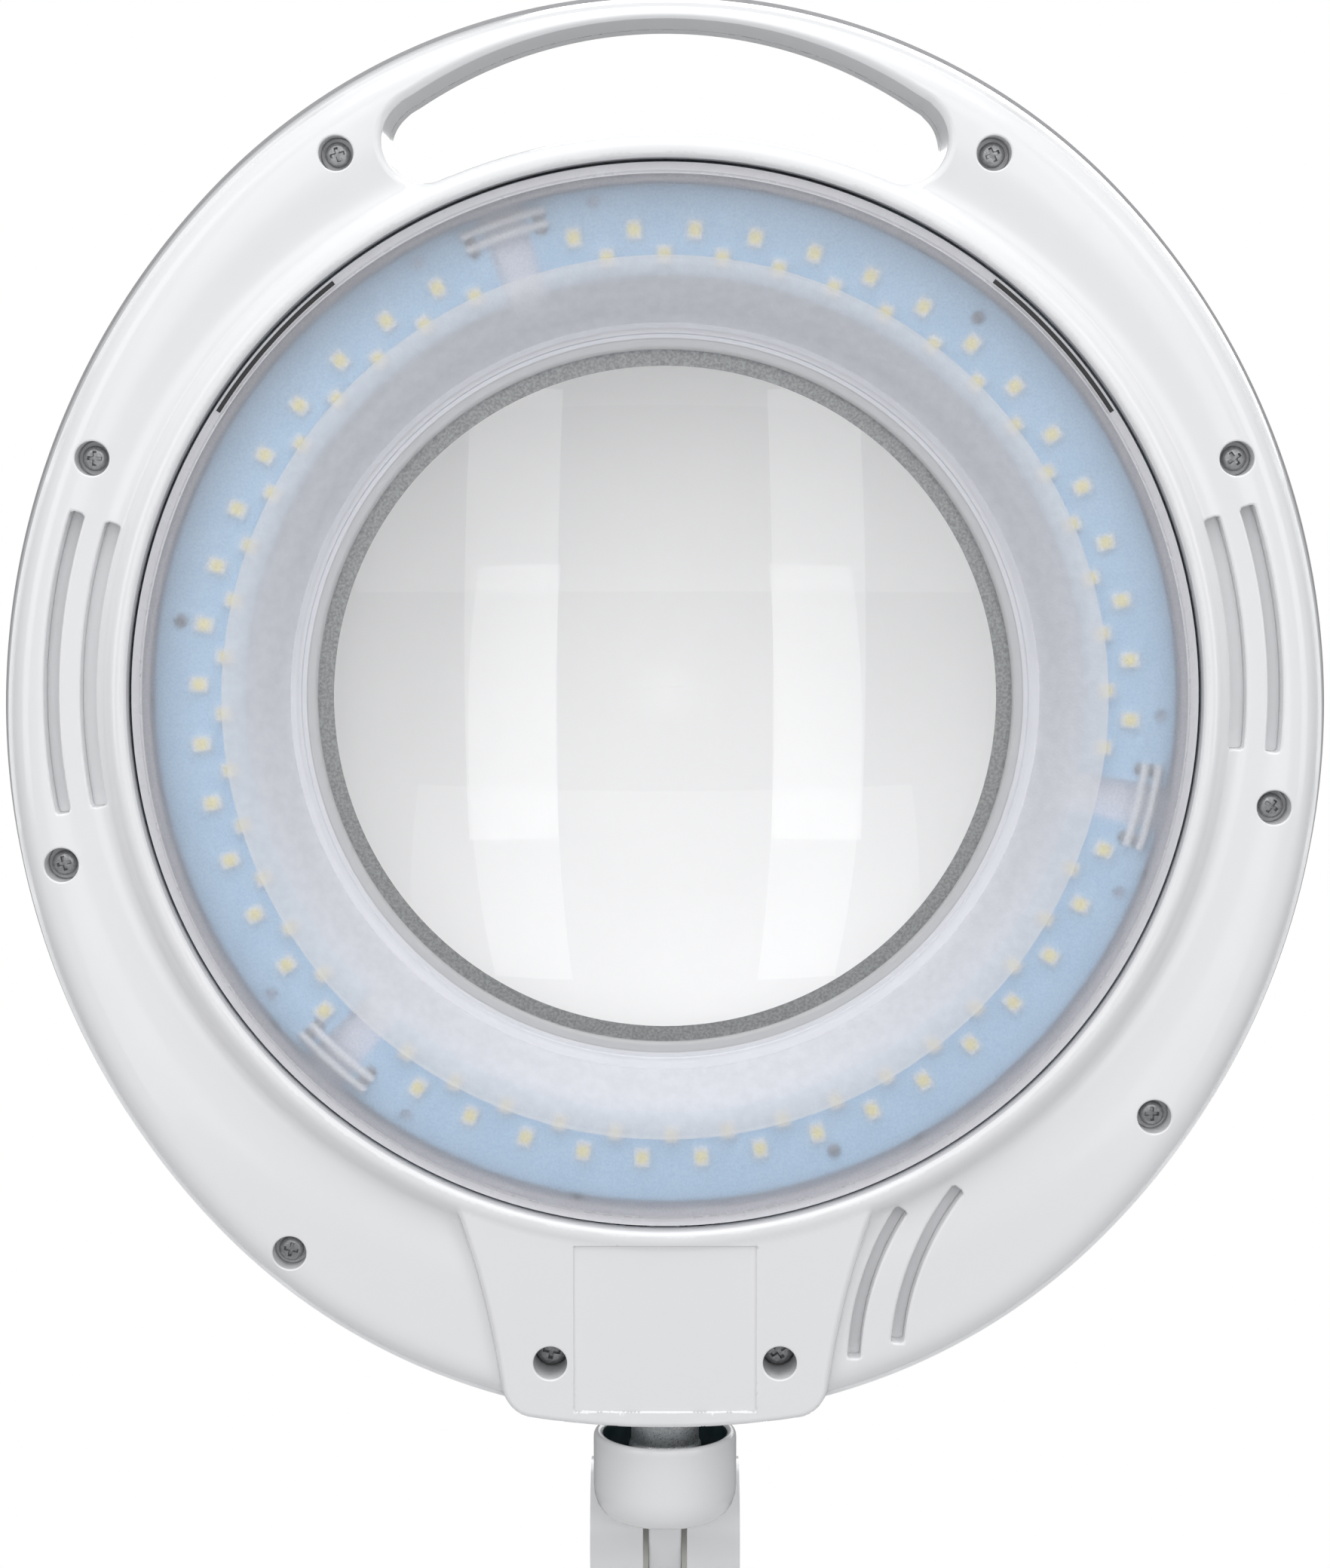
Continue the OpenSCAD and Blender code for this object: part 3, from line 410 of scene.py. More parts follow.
            # the boss round the pocket, from its closed end up to the inner sheet
            grown, end = (hole.loop + n * 1.2)[::-1], hole.floor + 1.2
            first = form.add(level(grown, end), [], normals=[(0, 1, 0)] * len(n))
            ring = [first + i for i in range(len(n))]
            fan(ring, 1)
            sheet_rings.append((grown, band(ring, level(grown, sheet_d),
                [(-a, 0.0, -b) for a, _, b in n3[::-1]])))
    # inner sheet
    flat_pts = np.vstack([loop for loop, _ in sheet_rings])
    ids = [i for _, ring in sheet_rings for i in ring]
    sheet_loops, start = [], 0
    for loop, _ in sheet_rings:
        sheet_loops.append(list(range(start, start + len(loop))))
        start += len(loop)
    _, triangles, source = triangulated(flat_pts, sheet_loops)
    for t in triangles:
        form.faces.append(tuple(ids[source[i]] for i in reversed(t)))
        form.slots.append(0)
    return form


def placed(form, move, flip=False):
    """The form with its vertices moved, and its faces and normals turned when it is mirrored."""
    out = Form()
    out.verts = [move(*v) for v in form.verts]
    out.faces = [tuple(reversed(f)) for f in form.faces] if flip else list(form.faces)
    out.slots = list(form.slots)
    out.normals = [None if n is None else ((n[0], -n[1], n[2]) if flip else n) for n in form.normals]
    return out


def piece(name, form, body, materials, replaces=(), sharp=32, soft=True):
    """Makes an object of a form and lets it ride on a CAD body."""
    mesh = bpy.data.meshes.new(name)
    mesh.from_pydata([tuple(c * MM for c in v) for v in form.verts], [], form.faces)
    materials = materials if isinstance(materials, (list, tuple)) else [materials]
    for m in materials:
        mesh.materials.append(m)
    mesh.polygons.foreach_set("material_index", form.slots)
    mesh.polygons.foreach_set("use_smooth", [True] * len(form.faces))
    mesh.update()
    obj = bpy.data.objects.new(name, mesh)
    bpy.context.scene.collection.objects.link(obj)
    if all(n is not None for n in form.normals):
        mesh.normals_split_custom_set_from_vertices(form.normals)
    else:
        whole = bmesh.new()
        whole.from_mesh(mesh)
        bmesh.ops.recalc_face_normals(whole, faces=whole.faces)
        whole.to_mesh(mesh)
        whole.free()
        mesh.set_sharp_from_angle(angle=radians(sharp))
        if soft:
            weighted = obj.modifiers.new("weighted", "WEIGHTED_NORMAL")
            weighted.keep_sharp = True
    if body:
        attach(obj, body)
    if replaces:
        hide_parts(*([replaces] if isinstance(replaces, str) else replaces))
    return obj


# ---- materials


def material(name, colour, rough, mottle=None, spread=0.0, grain=None, **sockets):
    """A Principled material with detail in its nodes.

    mottle is (size in mm, second colour, share), spread how far the roughness varies, and
    grain (size in mm, height in mm). Further sockets are set by name.
    """
    m = bpy.data.materials.new(name)
    m.use_nodes = True
    tree, link = m.node_tree, m.node_tree.links.new
    bsdf = tree.nodes["Principled BSDF"]
    bsdf.inputs["Base Color"].default_value = (*colour, 1)
    bsdf.inputs["Roughness"].default_value = rough
    for socket, value in sockets.items():
        bsdf.inputs[socket.replace("_", " ")].default_value = value
    coords = tree.nodes.new("ShaderNodeTexCoord").outputs["Object"]

    def noise(size, detail=3.0):
        tex = tree.nodes.new("ShaderNodeTexNoise")
        tex.inputs["Scale"].default_value = 1 / (size * MM)
        tex.inputs["Detail"].default_value = detail
        link(coords, tex.inputs["Vector"])
        return tex.outputs["Fac"]

    def remap(value, low, high, start=0.35, end=0.65):
        ramp = tree.nodes.new("ShaderNodeMapRange")
        for key, v in (("From Min", start), ("From Max", end), ("To Min", low), ("To Max", high)):
            ramp.inputs[key].default_value = v
        link(value, ramp.inputs["Value"])
        return ramp.outputs["Result"]

    if mottle:
        size, second, share = mottle
        mix = tree.nodes.new("ShaderNodeMix")
        mix.data_type = "RGBA"
        mix.inputs["A"].default_value = (*colour, 1)
        mix.inputs["B"].default_value = (*second, 1)
        link(remap(noise(size), 0, share), mix.inputs["Factor"])
        link(mix.outputs["Result"], bsdf.inputs["Base Color"])
    if spread:
        link(remap(noise(mottle[0] if mottle else 6.0), rough - spread, rough + spread),
            bsdf.inputs["Roughness"])
    if grain:
        size, height = grain
        bump = tree.nodes.new("ShaderNodeBump")
        bump.inputs["Strength"].default_value = 1.0
        bump.inputs["Distance"].default_value = height * MM
        link(noise(size, 2.0), bump.inputs["Height"])
        link(bump.outputs["Normal"], bsdf.inputs["Normal"])
    return m


def lets_lamps_through(m, tint=(1, 1, 1)):
    """Gives a see-through material clear shadows, so that lamps light what lies behind it."""
    tree, link = m.node_tree, m.node_tree.links.new
    out, bsdf = tree.nodes["Material Output"], tree.nodes["Principled BSDF"]
    path, mix = tree.nodes.new("ShaderNodeLightPath"), tree.nodes.new("ShaderNodeMixShader")
    clear = tree.nodes.new("ShaderNodeBsdfTransparent")
    clear.inputs["Color"].default_value = (*tint, 1)
    link(path.outputs["Is Shadow Ray"], mix.inputs["Fac"])
    link(bsdf.outputs["BSDF"], mix.inputs[1])
    link(clear.outputs["BSDF"], mix.inputs[2])
    link(mix.outputs["Shader"], out.inputs["Surface"])
    return m


WHITE = (0.88, 0.885, 0.895)
cover_white = material("cover_white", (0.96, 0.96, 0.96), 0.42, mottle=(45, (0.953, 0.953, 0.956), 0.5),
    spread=0.02, grain=(0.8, 0.002), Subsurface_Weight=0.7, Subsurface_Radius=(1.0, 1.0, 1.0),
    Subsurface_Scale=0.006)
abs_white = material("abs_white", WHITE, 0.16, mottle=(30, (0.87, 0.874, 0.885), 0.5), spread=0.025,
    grain=(3.0, 0.0025), Coat_Weight=0.25, Coat_Roughness=0.05)
# painted shade: the back shell's seam ring is dull grey so the parting line shows as a dark band
seam_painted_shade = material("seam_shade", (0.36, 0.36, 0.37), 0.5, mottle=(2, (0.33, 0.33, 0.34), 0.6),
    grain=(0.5, 0.003))
frosted = lets_lamps_through(material("frosted_acrylic", (0.98, 0.985, 1.0), 0.33,
    mottle=(0.45, (0.84, 0.85, 0.90), 1.0), grain=(0.5, 0.05), Transmission_Weight=0.9, IOR=1.3),
    (0.93, 0.93, 0.95))
acrylic = lets_lamps_through(material("smooth_acrylic", (0.95, 0.955, 0.965), 0.12,
    mottle=(6, (0.92, 0.925, 0.94), 0.5), grain=(2.0, 0.004), Transmission_Weight=0.55, IOR=1.4),
    (0.9, 0.9, 0.92))
glass = lets_lamps_through(material("optical_glass", (1.0, 1.0, 1.0), 0.0, grain=(40, 0.0004),
    Transmission_Weight=1.0, IOR=1.52), (1.0, 1.0, 1.0))
ground_glass = material("ground_glass_edge", (0.36, 0.37, 0.37), 0.55,
    mottle=(0.5, (0.24, 0.245, 0.25), 1.0), spread=0.12, grain=(0.35, 0.03))
board_blue = material("led_board", (0.47, 0.68, 0.85), 0.38, mottle=(7, (0.43, 0.65, 0.83), 0.8),
    spread=0.05, grain=(0.6, 0.006))
led_body = material("led_package", (0.86, 0.86, 0.82), 0.35, mottle=(0.8, (0.8, 0.8, 0.76), 0.5))
led_phosphor = material("led_phosphor", (0.93, 0.80, 0.30), 0.45, mottle=(0.5, (0.95, 0.86, 0.45), 0.8),
    grain=(0.3, 0.01))
solder = material("solder", (0.30, 0.31, 0.33), 0.4, mottle=(1.0, (0.16, 0.17, 0.18), 1.0), spread=0.1,
    grain=(0.5, 0.06), Metallic=0.6)
plate_white = material("plate_white", (0.80, 0.81, 0.86), 0.35, mottle=(15, (0.77, 0.78, 0.83), 0.6),
    grain=(0.8, 0.01))
rubber = material("black_rubber", (0.035, 0.035, 0.037), 0.62, mottle=(2, (0.05, 0.05, 0.052), 0.8),
    spread=0.08, grain=(0.4, 0.02))
dark_screw = material("dark_screw_steel", (0.46, 0.465, 0.47), 0.36,
    mottle=(0.6, (0.30, 0.305, 0.31), 0.8), spread=0.08, grain=(0.35, 0.05), Metallic=0.9)
zinc = material("zinc_plate", (0.86, 0.88, 0.89), 0.33, mottle=(0.45, (0.62, 0.65, 0.67), 1.0),
    spread=0.1, grain=(0.4, 0.03), Metallic=0.8)
bright_steel = material("bright_steel", (0.66, 0.665, 0.67), 0.24, mottle=(3, (0.58, 0.585, 0.59), 0.8),
    spread=0.07, grain=(0.5, 0.006), Metallic=1.0)
# painted shade: near-black for the shaded hollow inside the swivel cup
cup_inside_painted_shade = material("cup_inside_painted_shade", (0.015, 0.035, 0.04), 0.35, mottle=(3, (0.03, 0.055, 0.06), 0.8),
    grain=(0.8, 0.01))
enamel = material("white_enamel", (0.87, 0.875, 0.88), 0.2, mottle=(25, (0.85, 0.855, 0.865), 0.5),
    spread=0.03, grain=(1.2, 0.006), Coat_Weight=0.3, Coat_Roughness=0.06)
black_plastic = material("black_plastic", (0.03, 0.03, 0.032), 0.42,
    mottle=(3, (0.045, 0.045, 0.047), 0.8), spread=0.06, grain=(0.6, 0.02))
nylon = material("nylon", (0.72, 0.71, 0.66), 0.45, mottle=(5, (0.67, 0.66, 0.6), 0.6), grain=(1.0, 0.01))
fibre_board = material("fibre_board", (0.12, 0.26, 0.15), 0.45, mottle=(2, (0.09, 0.2, 0.11), 0.7),
    grain=(0.4, 0.01))
wire_white = material("white_wire", (0.82, 0.82, 0.8), 0.4, mottle=(3, (0.75, 0.75, 0.73), 0.5),
    grain=(0.6, 0.01))
grey_button = material("grey_button", (0.62, 0.63, 0.65), 0.25, mottle=(5, (0.59, 0.6, 0.62), 0.6),
    grain=(1.0, 0.005))

# ---- head outlines

OVAL_Z, END_R, END_C, SIDE_C = -4.2, 115.8, 16.4, 16.5
SIDE_R = END_R + hypot(END_C, SIDE_C)
BEAD_CREST, BEAD_OUT = 98.6, 101.4
LAND_D, SEAM_D, BACK_SEAM_D = 2.5, 20.0, 20.3
SHELL_WALL = 2.2
FRONT_SHEET_D, BACK_SHEET_D = 4.9, 25.8
VENT_FLOOR, SCREW_FLOOR, NECK_SCREW_FLOOR = 6.6, 7.9, 11.2
SCREW_HOLE_R, BUTTON_HOLE_R, COVER_HOLE_R = 3.1, 5.8, 62.0
HANDLE_AT = np.array([0.0, 111.5])
NECK_BOTTOM, NECK_BOW = -133.8, 160.0
FLANK, FLANK_R = (189.3, -147.3), 160.7
HANDLE_TOP, HANDLE_END = (39.6, 82.0), (42.7, 100.4, 7.7)
LABEL = (16.75, -130.7, -99.6)
SCREWS = [(-58.5, 97.9), (58.5, 97.9), (-102.8, 43.9), (102.6, 43.9), (-109.6, -29.6), (110.4, -19.1),
    (-69, -101.4), (89.5, -76)]
NECK_SCREWS = [(-21.1, -121.5), (21.1, -121.5)]
BUTTON_Z = -107.0


def soft_min(a, b, k):
    """The lower of two surfaces with a fillet between them."""
    h = np.clip(0.5 + 0.5 * (b - a) / k, 0, 1)
    return b + (a - b) * h - k * h * (1 - h)


def oval_sd(x, z):
    """Signed distance to the head's outline, negative inside."""
    x, z = np.abs(x), np.abs(z - OVAL_Z)
    end = z * SIDE_C > (x + SIDE_C) * END_C
    return np.where(end, np.hypot(x, z - END_C) - END_R, np.hypot(x + SIDE_C, z) - SIDE_R)


def neck_sd(x, z, corner=4.5):
    """Signed distance to the neck pad, between its two flanks and its bowed bottom."""
    flank = FLANK_R - np.hypot(np.abs(x) - FLANK[0], z - FLANK[1]) + corner
    bottom = np.hypot(x, z - NECK_BOTTOM - NECK_BOW) - NECK_BOW + corner
    return np.minimum(np.maximum(flank, bottom), 0) + np.hypot(np.maximum(flank, 0),
        np.maximum(bottom, 0)) - corner


def handle_sd(x, z):
    """Signed distance to the hand-hole: a crescent with a round end on each side."""
    across, up = HANDLE_END[0], HANDLE_END[1] - HANDLE_TOP[0]
    past_end = (np.abs(x) * up - (z - HANDLE_TOP[0]) * across) / hypot(across, up)
    crescent = np.maximum.reduce([np.hypot(x, z - HANDLE_TOP[0]) - HANDLE_TOP[1],
        BEAD_OUT - np.hypot(x, z), past_end])
    ends = np.hypot(np.abs(x) - HANDLE_END[0], z - HANDLE_END[1]) - HANDLE_END[2]
    return soft_min(crescent, ends, 0.5)


def label_sd(x, z):
    return np.maximum(np.abs(x) - LABEL[0], np.abs(z - (LABEL[1] + LABEL[2]) / 2) - (LABEL[2] - LABEL[1])
        / 2)


def front_surface(x, z):
    """Depth of the front housing's outer surface."""
    r = np.hypot(x, z)
    inset = -oval_sd(x, z)
    t = np.clip((inset - 1.25) / 8.3, 0.0, 1)
    land = SEAM_D - (SEAM_D - LAND_D) * np.sqrt(np.maximum(1 - (1 - t) ** 3.2, 0))
    land = land + 0.7 * np.exp(-(((r - 104.0) / 5.0) ** 2))
    bead = np.where(r > BEAD_CREST, 0.26 * (r - BEAD_CREST) ** 2, 0.06 * (BEAD_CREST - r) ** 2)
    s = -neck_sd(x, z)
    pad = 0.35 + np.where(s > 0, lip_depth(np.maximum(s, 0), 1.1), 1.1 - 6 * s)
    pad = np.where(z < -80, pad, 40.0)
    d = soft_min(soft_min(land, bead, 1.3), pad, 0.45)
    edge = np.clip(0.5 - label_sd(x, z) / 0.24, 0, 1)
    return d + 0.42 * edge * edge * (3 - 2 * edge)


def front_outline():
    """The front housing's outline at the seam: the inset oval joined with the neck pad."""
    def either(x, z):
        return np.minimum(oval_sd(x, z) + 1.27, np.where(z < -60, neck_sd(x, z) - 0.3, 9))

    return contour(either, np.zeros(2), 1500)


def rows_along(loop, offsets):
    n = out_normals(loop)
    return np.vstack([loop + n * o for o in offsets])


def spots_rings(at, radii, step=0.9):
    return np.vstack([circle_loop(at, r, max(12, int(2 * pi * r / step))) for r in radii])


handle = contour(handle_sd, HANDLE_AT, 300, reach=70)
handle_wall = contour(lambda x, z: handle_sd(x, z) - SHELL_WALL, HANDLE_AT, 300, reach=70)
vents = [arc_slot_loop((0, 0), *v) for v in ((104.3, 162, 190.5, 2.9), (110.9, 162, 190.5, 2.7),
    (103.7, -4.7, 18.7, 2.9), (110.3, -4.7, 18.7, 2.7))]


def slanted_slot_loop(a, b, r=54.0, w=2.4):
    """A slot of width w along the arc of radius r from a to b."""
    a, b = np.array(a), np.array(b)
    half = np.linalg.norm(a - b) / 2
    side = np.array([b[1] - a[1], a[0] - b[0]]) / (2 * half)
    centre = (a + b) / 2 - side * sqrt(r * r - half * half)
    angles = sorted(degrees(atan2(*(p - centre)[::-1])) % 360 for p in (a, b))
    over = degrees(w / 2 / r)
    return arc_slot_loop(centre, r, angles[0] - over, angles[1] + over, w)


slanted = [slanted_slot_loop((42.9, -94.3), (34.9, -120)), slanted_slot_loop((53.2, -90.4),
    (42.9, -117.1))]

# ---- head shells


def slots_at_dome():
    """The seven short cooling slots low on the dome."""
    return [arc_slot_loop((0, 0), 89, 270 + i * 5 - 1.6, 270 + i * 5 + 1.6, 2.0, 0.9)
        for i in range(-3, 4)]


front_loop = front_outline()
pad_loop = contour(lambda x, z: np.maximum(neck_sd(x, z), z + 90), np.array([0.0, -112.0]), 460)
label_loop = resampled(np.array([(-LABEL[0], LABEL[1]), (LABEL[0], LABEL[1]), (LABEL[0], LABEL[2]),
    (-LABEL[0], LABEL[2])]), 190)
front_rows = [(rows_along(label_loop, (-0.2, -0.13, -0.05, 0.05, 0.13, 0.2)), 0.03),
    (rows_along(pad_loop, (-2.8, -1.8, -1.15, -0.85, -0.55, -0.3, -0.1, 0.06, 0.2, 0.45, 0.9, 1.6)),
    0.05), (rows_along(front_loop, (-0.04, -0.14, -0.3, -0.5, -0.8, -1.2, -1.7, -2.3, -3.1, -4.1, -5.3,
    -6.7, -8.4)), 0.09), (spots_rings((0, 0), (97.96, 98.3, 98.7, 99.1, 99.6, 100.2, 100.8, 101.4, 102.0,
    102.7, 103.6, 104.8, 106.4), 1.3), 0.35),]
front_holes = [Hole(circle_loop((0, 0), 97.05, 420), 0.9), Hole(handle, 1.5, "open", grown=handle_wall)]
front_holes += [Hole(loop, 0.45, "pocket", VENT_FLOOR) for loop in vents + slanted]
front_holes += [Hole(circle_loop(p, SCREW_HOLE_R, 40), 0.35, "pocket", SCREW_FLOOR) for p in SCREWS]
front_holes += [Hole(circle_loop(p, SCREW_HOLE_R, 48), 0.35, "pocket", NECK_SCREW_FLOOR)
    for p in NECK_SCREWS]
front = half_shell(front_loop, front_holes, front_surface, front_rows, FRONT_SHEET_D, SEAM_D, SHELL_WALL)
piece("front_shell", placed(front, head_point), "head", abs_white, "front_housing")

dome_curve = np.array(smooth_line([(112, -30, 0), (103, 13, 0), (98, 28, 0), (94, 34, 0), (86, 39.2, 0),
    (76, 40.85, 0), (69, 41, 0), (55, 41, 0)], 12))[::-1]


def back_surface(x, z):
    """Minus the depth of the back housing's outer surface."""
    inset = -oval_sd(x, z)
    t = np.clip(inset / 3.6, 0, 1)
    rim = 20.3 + 7.7 * (1 - (1 - t) ** 2.6) ** (1 / 2.6)
    dome = np.interp(np.hypot(x, z), dome_curve[:, 0], dome_curve[:, 1])
    return soft_min(-rim, -dome, 2.4)


back_loop = contour(lambda x, z: oval_sd(x, z) + 0.03, np.zeros(2), 1200)
back_rows = [(rows_along(back_loop, (-0.03, -0.1, -0.22, -0.4, -0.65, -0.95, -1.3, -1.7, -2.2, -2.8, -3.6,
    -5)), 0.06), (spots_rings((0, 0), (68, 72, 76, 79, 82, 84.5, 87, 89, 91, 92.6, 94, 95.2, 96.3, 97.2,
    98, 98.7, 99.4, 100.2, 101.2, 102.6), 1.6), 0.4),]
back_holes = [Hole(circle_loop((0, 0), COVER_HOLE_R, 300), 1.2, "open"),
    Hole(handle, 1.5, "open", grown=handle_wall), Hole(circle_loop((0, BUTTON_Z), BUTTON_HOLE_R, 72),
    0.5)]
back_holes += [Hole(loop, 0.4) for loop in slots_at_dome()]
back = half_shell(back_loop, back_holes, back_surface, back_rows, -BACK_SHEET_D, -BACK_SEAM_D, SHELL_WALL,
    seam_slot=1)
piece("back_shell", placed(back, lambda x, e, z: head_point(x, -e, z), flip=True), "head",
    [abs_white, seam_painted_shade], "back_housing")

# ---- diffuser, lens and lighting


def lathe_y(profile, steps=192, slots=None, full=True, at=(0, 0)):
    """Turns a closed profile of (radius, depth) points round the lens axis or one beside it."""
    return lathe(profile, steps, slots, full, lambda a, b, d: head_point(at[0] + a, d, at[1] + b))


def lathe_z(profile, steps=96, slots=None, full=True, at=(0, 0)):
    """Turns a closed profile of (radius, height) points round an upright axis at x, y."""
    return lathe(profile, steps, slots, full, lambda a, b, z: (at[0] + a, at[1] + b, z))


def sector_y(profile, a0, a1, steps):
    """Turns a closed profile through part of a circle, with closed ends; angles in degrees."""
    loops = []
    for a in np.radians(np.linspace(a0, a1, steps + 1)):
        loops.append([head_point(r * cos(a), d, r * sin(a)) for r, d in profile])
    return Form().loft(loops)


face = [(96.5, 3.45), (95.1, 3.4), (94.85, 3.1), (94.6, 2.1), (94.35, 1.75)]
face += [(r, 1.75 - 0.3 * sin(pi * (94 - r) / 15)) for r in np.linspace(93.8, 80, 14)]
cone = [tuple(p[:2]) for p in smooth_line([(80, 1.75, 0), (78, 1.95, 0), (76, 2.6, 0), (73.6, 4.2, 0),
    (71.6, 6.0, 0), (69.8, 7.8, 0), (68.3, 9.0, 0)], 5)][1:]
bands = [(67.75, 9.2), (67.5, 9.5), (66.9, 9.7), (66.5, 9.72), (66.3, 10.1), (64.2, 10.25), (63.75, 10.4),
    (63.5, 10.8)]
behind = [(63.5, 11.5), (65.4, 11.7), (67.4, 11.15), (69.4, 10.1), (71.4, 8.6), (73.4, 6.8), (75.2, 5.2),
    (77.4, 3.9), (80.2, 3.25), (92.9, 3.3), (93.3, 5.0), (96.5, 5.0)]
profile = face + cone + bands + behind
diffuser = lathe_y(profile, 256, [3] * 4 + [0] * (len(face) - 5) + [1] * (len(cone)) + [2]
    * (len(bands) + 1) + [0] * (len(behind) - 3) + [3] * 3)
cone_grey = lets_lamps_through(material("grained_cone", (0.80, 0.81, 0.84), 0.3,
    mottle=(2, (0.72, 0.73, 0.76), 0.6), grain=(0.5, 0.05), Transmission_Weight=0.35, IOR=1.35),
    (0.8, 0.8, 0.84))
flange = material("diffuser_flange", (0.80, 0.80, 0.83), 0.3, mottle=(3, (0.76, 0.76, 0.79), 0.6),
    spread=0.05, grain=(0.6, 0.006))
piece("diffuser_ring", diffuser, "head", [frosted, cone_grey, acrylic, flange], "diffuser",
    sharp=40)

# painted shade: thin black sectors on the flange stand in for the dark gaps of its slots
flange_slot_painted_shade = Form()
for a0, a1 in ((33.1, 52.1), (128.2, 146.9)):
    flange_slot_painted_shade.join(sector_y([(96.05, 3.36), (96.05, 3.7), (95.25, 3.7), (95.25, 3.36), (95.65, 3.32)],
        a0, a1, 36))
piece("flange_slot_painted_shade", flange_slot_painted_shade, "head", black_plastic, sharp=40)

low, high = node_box("lens")
EDGE_R, LENS_T = 65.5, high.y - low.y
sag = (LENS_T - 3) / 2
ball = (EDGE_R ** 2 + sag ** 2) / (2 * sag)
front_d = low.y - FACE_Y


def cap(r):
    return ball - sqrt(ball * ball - r * r)


clear_r = list(np.linspace(0, 60.6, 60))
edge_r = [61.2, 62.4, 63.6, 65.0, EDGE_R - 0.02]
lens_front = [(r, front_d + cap(r)) for r in clear_r + edge_r]
lens_back = [(EDGE_R - 0.02, front_d + LENS_T - sag)] + [(r, front_d + LENS_T - cap(r))
    for r in edge_r[-2::-1]]
lens_back += [(r, front_d + LENS_T - cap(r)) for r in clear_r[::-1]]
# the clear faces have slot 0, and the ground edge between them slot 1
ground = len(lens_front) + len(lens_back) - 2 * len(clear_r)
lens_slots = [0] * (len(clear_r) - 1) + [1] * ground + [0] * (len(clear_r) + 1)
lens_form = lathe_y(lens_front + lens_back, 256, lens_slots, full=False)
piece("lens_disc", lens_form, "head", [glass, ground_glass], "lens", sharp=30)

gaps = (108.8, 227.5, 347.5)
chips = Form()
for i in range(3):
    for row, r in enumerate((80.5, 85.0)):
        for k in range(15):
            a = radians(gaps[i] + 60 + (row - 0.5) * 3.7 + (k - 7) * 7.4)
            u, v = Vector((cos(a), sin(a))), Vector((-sin(a), cos(a)))
            c = u * r

            def level(outline, d):
                at = [c + u * p[0] + v * p[1] for p in outline]
                return [head_point(p.x, d, p.y) for p in at]

            def block(hx, hy):
                return rounded([(-hx, -hy), (hx, -hy), (hx, hy), (-hx, hy)], 0.3, 2)

            chips.loft([level(block(hx, hy), d) for hx, hy, d in ((1.74, 1.39, 9.48), (1.74, 1.39, 8.85),
                (1.66, 1.31, 8.74))])
            chips.loft([level(circle_loop((0, 0), q, 16), d) for q, d in ((1.12, 8.76), (1.12, 8.735),
                (1.0, 8.715), (0.5, 8.705))], 1)
piece("led_packages", chips, "head", [led_body, led_phosphor], "led_chips", sharp=35)

spots = Form()
for a, r in ((170.7, 89.2), (290.5, 89.2), (50.75, 89.2), (104.6, 90.2), (113.0, 90.2), (223.3, 90.2),
        (231.7, 90.2), (343.3, 90.2), (351.7, 90.2), (104.6, 87.8), (113.0, 87.8), (223.3, 87.8),
        (231.7, 87.8), (343.3, 87.8), (351.7, 87.8)):
    x, z = r * cos(radians(a)), r * sin(radians(a))
    spots.join(lathe_y([(0, 9.0), (0.5, 9.02), (0.9, 9.15), (1.15, 9.35), (1.25, 9.49), (0, 9.49)], 16,
        full=False, at=(x, z)))
piece("solder_spots", spots, "head", solder)

# ---- screws


def cross_radius(a, arm, half):
    """Distance from the centre to a cross recess's outline in direction a."""
    c, s = abs(cos(a)), abs(sin(a))
    along, over = max(c, s), min(c, s)
    tip = arm / along
    side = half / over if over > 1e-6 else 1e9
    return max(min(tip, side), half * sqrt(2) if abs(c - s) < 1e-6 else min(tip, side))


def cross_screw(at, head_r, top, shank_r, length, turn):
    """A pan-head screw with a cross recess, as (across, along, up) rings placed by at()."""
    n = 64
    angles = [2 * pi * k / n for k in range(n)]

    def circle(r, d):
        return [at(r * cos(a), d, r * sin(a)) for a in angles]

    def cross(scale, d):
        out = []
        for a in angles:
            r = scale * cross_radius(a - radians(turn), 0.56 * head_r, 0.15 * head_r)
            out.append(at(r * cos(a), d, r * sin(a)))
        return out

    h = 0.36 * head_r
    rings = [circle(0.02, top + 2 + length), circle(shank_r * 0.8, top + 2 + length),
        circle(shank_r, top + 1.6 + length), circle(shank_r, top + 1.9),
        circle(head_r * 0.98, top + 1.85), circle(head_r, top + 1.7), circle(head_r, top + 0.95 * h),
        circle(head_r * 0.965, top + 0.62 * h), circle(head_r * 0.88, top + 0.3 * h),
        circle(head_r * 0.77, top + 0.1 * h), circle(head_r * 0.66, top + 0.02), cross(1.06, top),
        cross(1.0, top + 0.08), cross(0.82, top + 0.42 * head_r)]
    return Form().loft(rings)


def screw_set(spots, turn, *sizes):
    """Screws at (x, z) spots, each turned by turn(x) degrees."""
    form = Form()
    for x, z in spots:
        form.join(cross_screw(lambda a, d, b, x=x, z=z: head_point(x + a, d, z + b), *sizes, turn(x)))
    return form


piece("housing_screws_cross", screw_set(SCREWS, lambda x: 20 + 37 * x, 2.25, 5.5, 1.2, 14), "head",
    dark_screw, "housing_screws", sharp=35)
piece("neck_screws_cross", screw_set(NECK_SCREWS, lambda x: 12 + x, 2.8, 9.0, 1.95, 8), "head",
    dark_screw, "neck_screws", sharp=35)

# ---- swivel cup and stud

STUD_Y = FACE_Y + 18
low, high = node_box("bolt_caps")
TILT = (low + high).yz / 2
BOLT_BORE_R = 4.15


def stud_z(z):
    return LENS_Z + z


